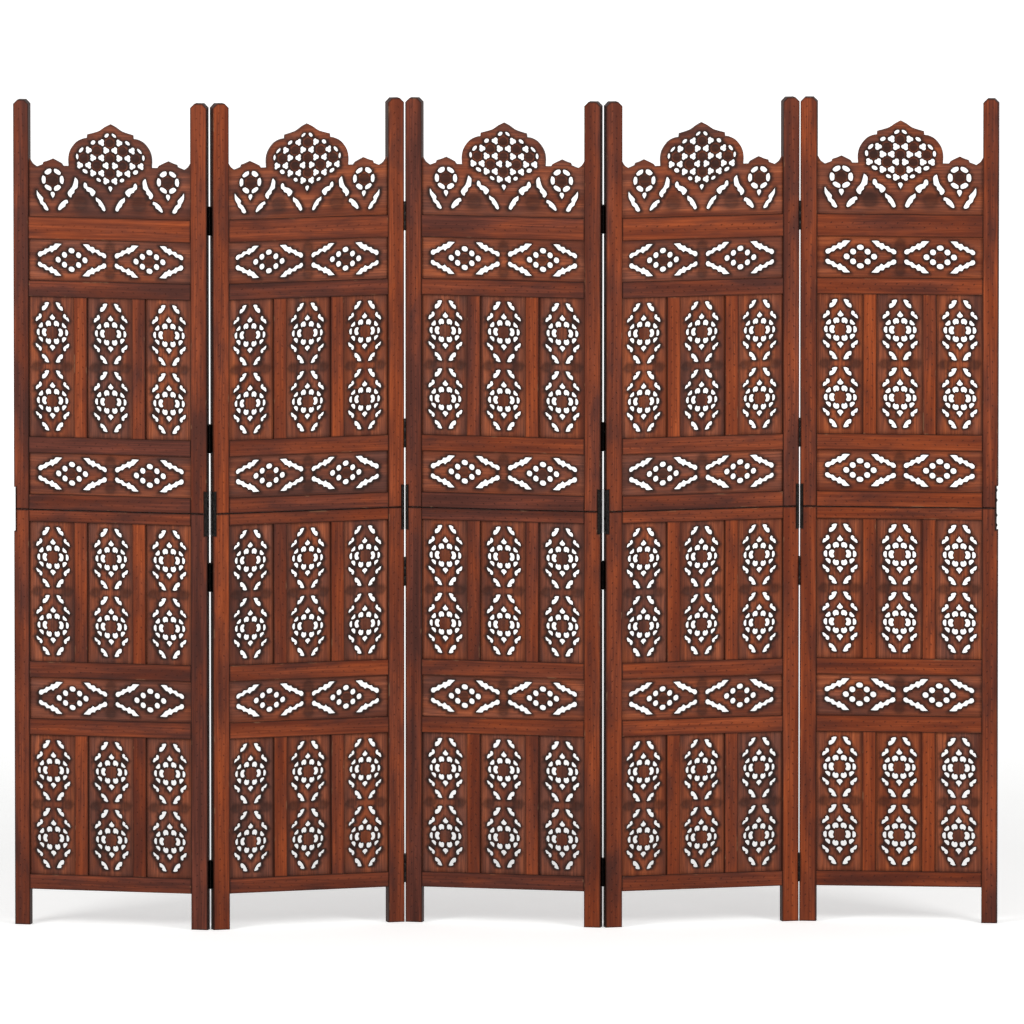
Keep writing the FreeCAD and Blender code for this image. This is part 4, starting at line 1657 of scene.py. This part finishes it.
@dataclass
class Studio:
    """The pale floor, the soft light and the camera."""

    floor_half: float = 90.0
    floor_colour: str = "#f4f4f2"
    floor_fibre: str = "#f7f7f6"
    floor_roughness: float = 0.9
    # Paper's fibre is too fine to show, so it is drawn as faint clouds about 170 mm wide.
    clouds_per_metre: float = 6.0
    near_glow: float = 0.4
    far_glow: float = 0.8
    glow_start: float = 1.5
    glow_end: float = 6.0
    sky_light: float = 0.4
    camera_place: tuple[float, float, float] = (0.0111, -44.991, 6.352)
    pitch: float = 7.0
    lens: float = 802.5
    sensor: float = 36.0
    far_clip: float = 400.0
    lamp_size: float = 1.8
    lamp_target: tuple[float, float, float] = (0.0, 0.0, 0.8)
    lamps: tuple[tuple[tuple[float, float, float], float], ...] = (
        ((-3.4, -3.4, 2.9), 110.0),
        ((3.4, -3.4, 2.9), 110.0),
    )

    def seen(self, tree: bpy.types.NodeTree) -> bpy.types.NodeSocket:
        """Tell rays from the eye, straight or by way of metal or glass, from the others.

        Args:
            tree: Node tree of the floor or the world.

        Returns:
            A socket that is one for those rays.
        """
        path = add_node(tree, "ShaderNodeLightPath").outputs
        seen = path["Is Camera Ray"]
        for other in ("Is Glossy Ray", "Is Transmission Ray"):
            either = add_node(tree, "ShaderNodeMath", {0: seen, 1: path[other]}, operation="MAXIMUM")
            seen = either.outputs[0]
        return seen

    def floor(self) -> bpy.types.Object:
        """Lay the floor: the plane z = 0, which looks white away from shadow and is paler further off.

        Returns:
            The floor.
        """
        reach = self.floor_half
        corners = [(-reach, -reach, 0), (reach, -reach, 0), (reach, reach, 0), (-reach, reach, 0)]
        mesh = bpy.data.meshes.new("pale_floor")
        mesh.from_pydata(corners, [], [(0, 1, 2, 3)])
        floor = bpy.data.objects.new("pale_floor", mesh)
        bpy.context.scene.collection.objects.link(floor)
        material, tree, output = new_material("pale_paper_floor")
        place = add_node(tree, "ShaderNodeTexCoord").outputs["Object"]
        fibre = add_node(
            tree, "ShaderNodeTexNoise", {"Vector": place, "Scale": self.clouds_per_metre, "Detail": 2.0}
        )
        ends = {MIX_FIRST: linear_colour(self.floor_colour), MIX_SECOND: linear_colour(self.floor_fibre)}
        tint = add_node(tree, "ShaderNodeMix", {MIX_SHARE: fibre.outputs[0], **ends}, data_type="RGBA")
        away = add_node(tree, "ShaderNodeVectorMath", {0: place}, operation="LENGTH")
        spans = {"From Min": self.glow_start, "From Max": self.glow_end}
        spans |= {"To Min": self.near_glow, "To Max": self.far_glow}
        glow = add_node(tree, "ShaderNodeMapRange", {"Value": away.outputs["Value"], **spans})
        shown = add_node(
            tree, "ShaderNodeMath", {0: self.seen(tree), 1: glow.outputs[0]}, operation="MULTIPLY"
        )
        paper = add_node(
            tree,
            "ShaderNodeBsdfPrincipled",
            {
                "Base Color": tint.outputs[MIX_RESULT],
                "Roughness": self.floor_roughness,
                "Emission Color": linear_colour(WHITE),
                "Emission Strength": shown.outputs[0],
            },
        )
        tree.links.new(paper.outputs[0], output.inputs["Surface"])
        mesh.materials.append(material)
        return floor

    def light(self) -> None:
        """Hang the soft lamps, and make the world white to the eye and softer as light."""
        for number, (place, power) in enumerate(self.lamps, start=1):
            lamp = bpy.data.lights.new(f"soft_lamp_{number}", "AREA")
            lamp.size = self.lamp_size
            lamp.energy = power
            holder = bpy.data.objects.new(lamp.name, lamp)
            holder.location = place
            holder.rotation_mode = "QUATERNION"
            way = Vector(self.lamp_target) - Vector(place)
            holder.rotation_quaternion = way.to_track_quat("-Z", "Y")
            bpy.context.scene.collection.objects.link(holder)
        world = bpy.data.worlds.new("white_room")
        world.use_nodes = True
        tree = world.node_tree
        tree.nodes.clear()
        strength = add_node(
            tree, "ShaderNodeMapRange", {"Value": self.seen(tree), "To Min": self.sky_light, "To Max": 1.0}
        )
        sky = add_node(
            tree, "ShaderNodeBackground", {"Color": linear_colour(WHITE), "Strength": strength.outputs[0]}
        )
        output = add_node(tree, "ShaderNodeOutputWorld")
        tree.links.new(sky.outputs[0], output.inputs["Surface"])
        bpy.context.scene.world = world

    def camera(self) -> bpy.types.Object:
        """Set the camera at the photograph's viewing angle.

        Returns:
            The camera.
        """
        data = bpy.data.cameras.new("photo_camera")
        data.sensor_width = self.sensor
        data.lens = self.lens
        data.clip_end = self.far_clip
        camera = bpy.data.objects.new("photo_camera", data)
        camera.location = self.camera_place
        camera.rotation_euler = (math.radians(90 - self.pitch), 0.0, 0.0)
        bpy.context.scene.collection.objects.link(camera)
        bpy.context.scene.camera = camera
        return camera

    def build(self) -> None:
        """Set the whole stage."""
        self.floor()
        self.light()
        self.camera()
        bpy.context.scene.view_settings.view_transform = "Standard"


# Each panel's number, heading in degrees, tone of its wood and darkness of its nicks.
PANELS = (
    (1, -12.9, 0.32, 0.28),
    (2, 17.6, 0.4, 0.32),
    (3, -12.4, 0.38, 0.42),
    (4, 14.4, 0.52, 0.5),
    (5, -5.3, 0.6, 0.5),
)
# Panel and side of the screen's two ends, where -1 is the left and 1 the right.
SCREEN_ENDS = ((1, -1), (5, 1))
# Each fold's number, the side of its barrels, and the panels of its pinned and its turning leaves.
FOLDS = (
    (1, BarrelSide.BACK, 2, 1),
    (2, BarrelSide.FRONT, 2, 3),
    (3, BarrelSide.BACK, 4, 3),
    (4, BarrelSide.FRONT, 4, 5),
)


def main() -> None:
    """Build the stage, the five panels and the four hinge lines."""
    logging.basicConfig(level=logging.INFO, format="%(name)s: %(message)s")
    Studio().build()
    # Hardwood planed and stained: a dull gloss, dark pores along the grain and pale chips on rubbed edges.
    frame_wood = StainedWood(
        "stained_hardwood_frame",
        cool_dark="#3f1d15",
        cool_light="#733a2b",
        warm_dark="#682910",
        warm_light="#a85026",
        # Deepest stain and grime, and the shade painted on the bars' sides.
        dirt_and_shade="#220d06",
        chipped="#b0835f",
    ).material()
    # The same wood cut through with a fret saw: lighter between its cuts, and nearly black in them from stain
    # and painted shade.
    board_wood = StainedWood(
        "stained_hardwood_fretwork",
        cool_dark="#4d2c24",
        cool_light="#905745",
        warm_dark="#6b2f19",
        warm_light="#b45f36",
        # Deepest stain and grime, and the shade painted on the walls of the cuts and along the seats.
        dirt_and_shade="#1b0a05",
        chipped="#a97f5e",
    ).material()
    # Rolled iron sheet blackened with heat and oil: almost black, with a broad soft gloss.
    iron = WornMetal(
        "blackened_iron", clean="#161413", dull="#2b2624", metallic=1.0, roughness=0.34
    ).material()
    # Drawn steel rod left bare: grey, with a gloss dulled by handling.
    steel = WornMetal(
        "drawn_steel_rod", clean="#7d7a76", dull="#5a5653", metallic=1.0, roughness=0.38
    ).material()
    boards = PiercedBoards()
    masters = Masters.carve(boards)
    headings = {}
    for number, heading, tone, nick_shade in PANELS:
        panel = Panel(number, heading, tone, nick_shade)
        headings[number] = heading
        boards.build(masters, panel, board_wood)
        FrameBars().build(panel, frame_wood)
        JointPlates().build(panel, iron)
    for number, side, pinned, turning in FOLDS:
        HingeLine(number, side, pinned, turning, headings[pinned], headings[turning]).build(iron, steel)


if __name__ == "__main__":
    main()
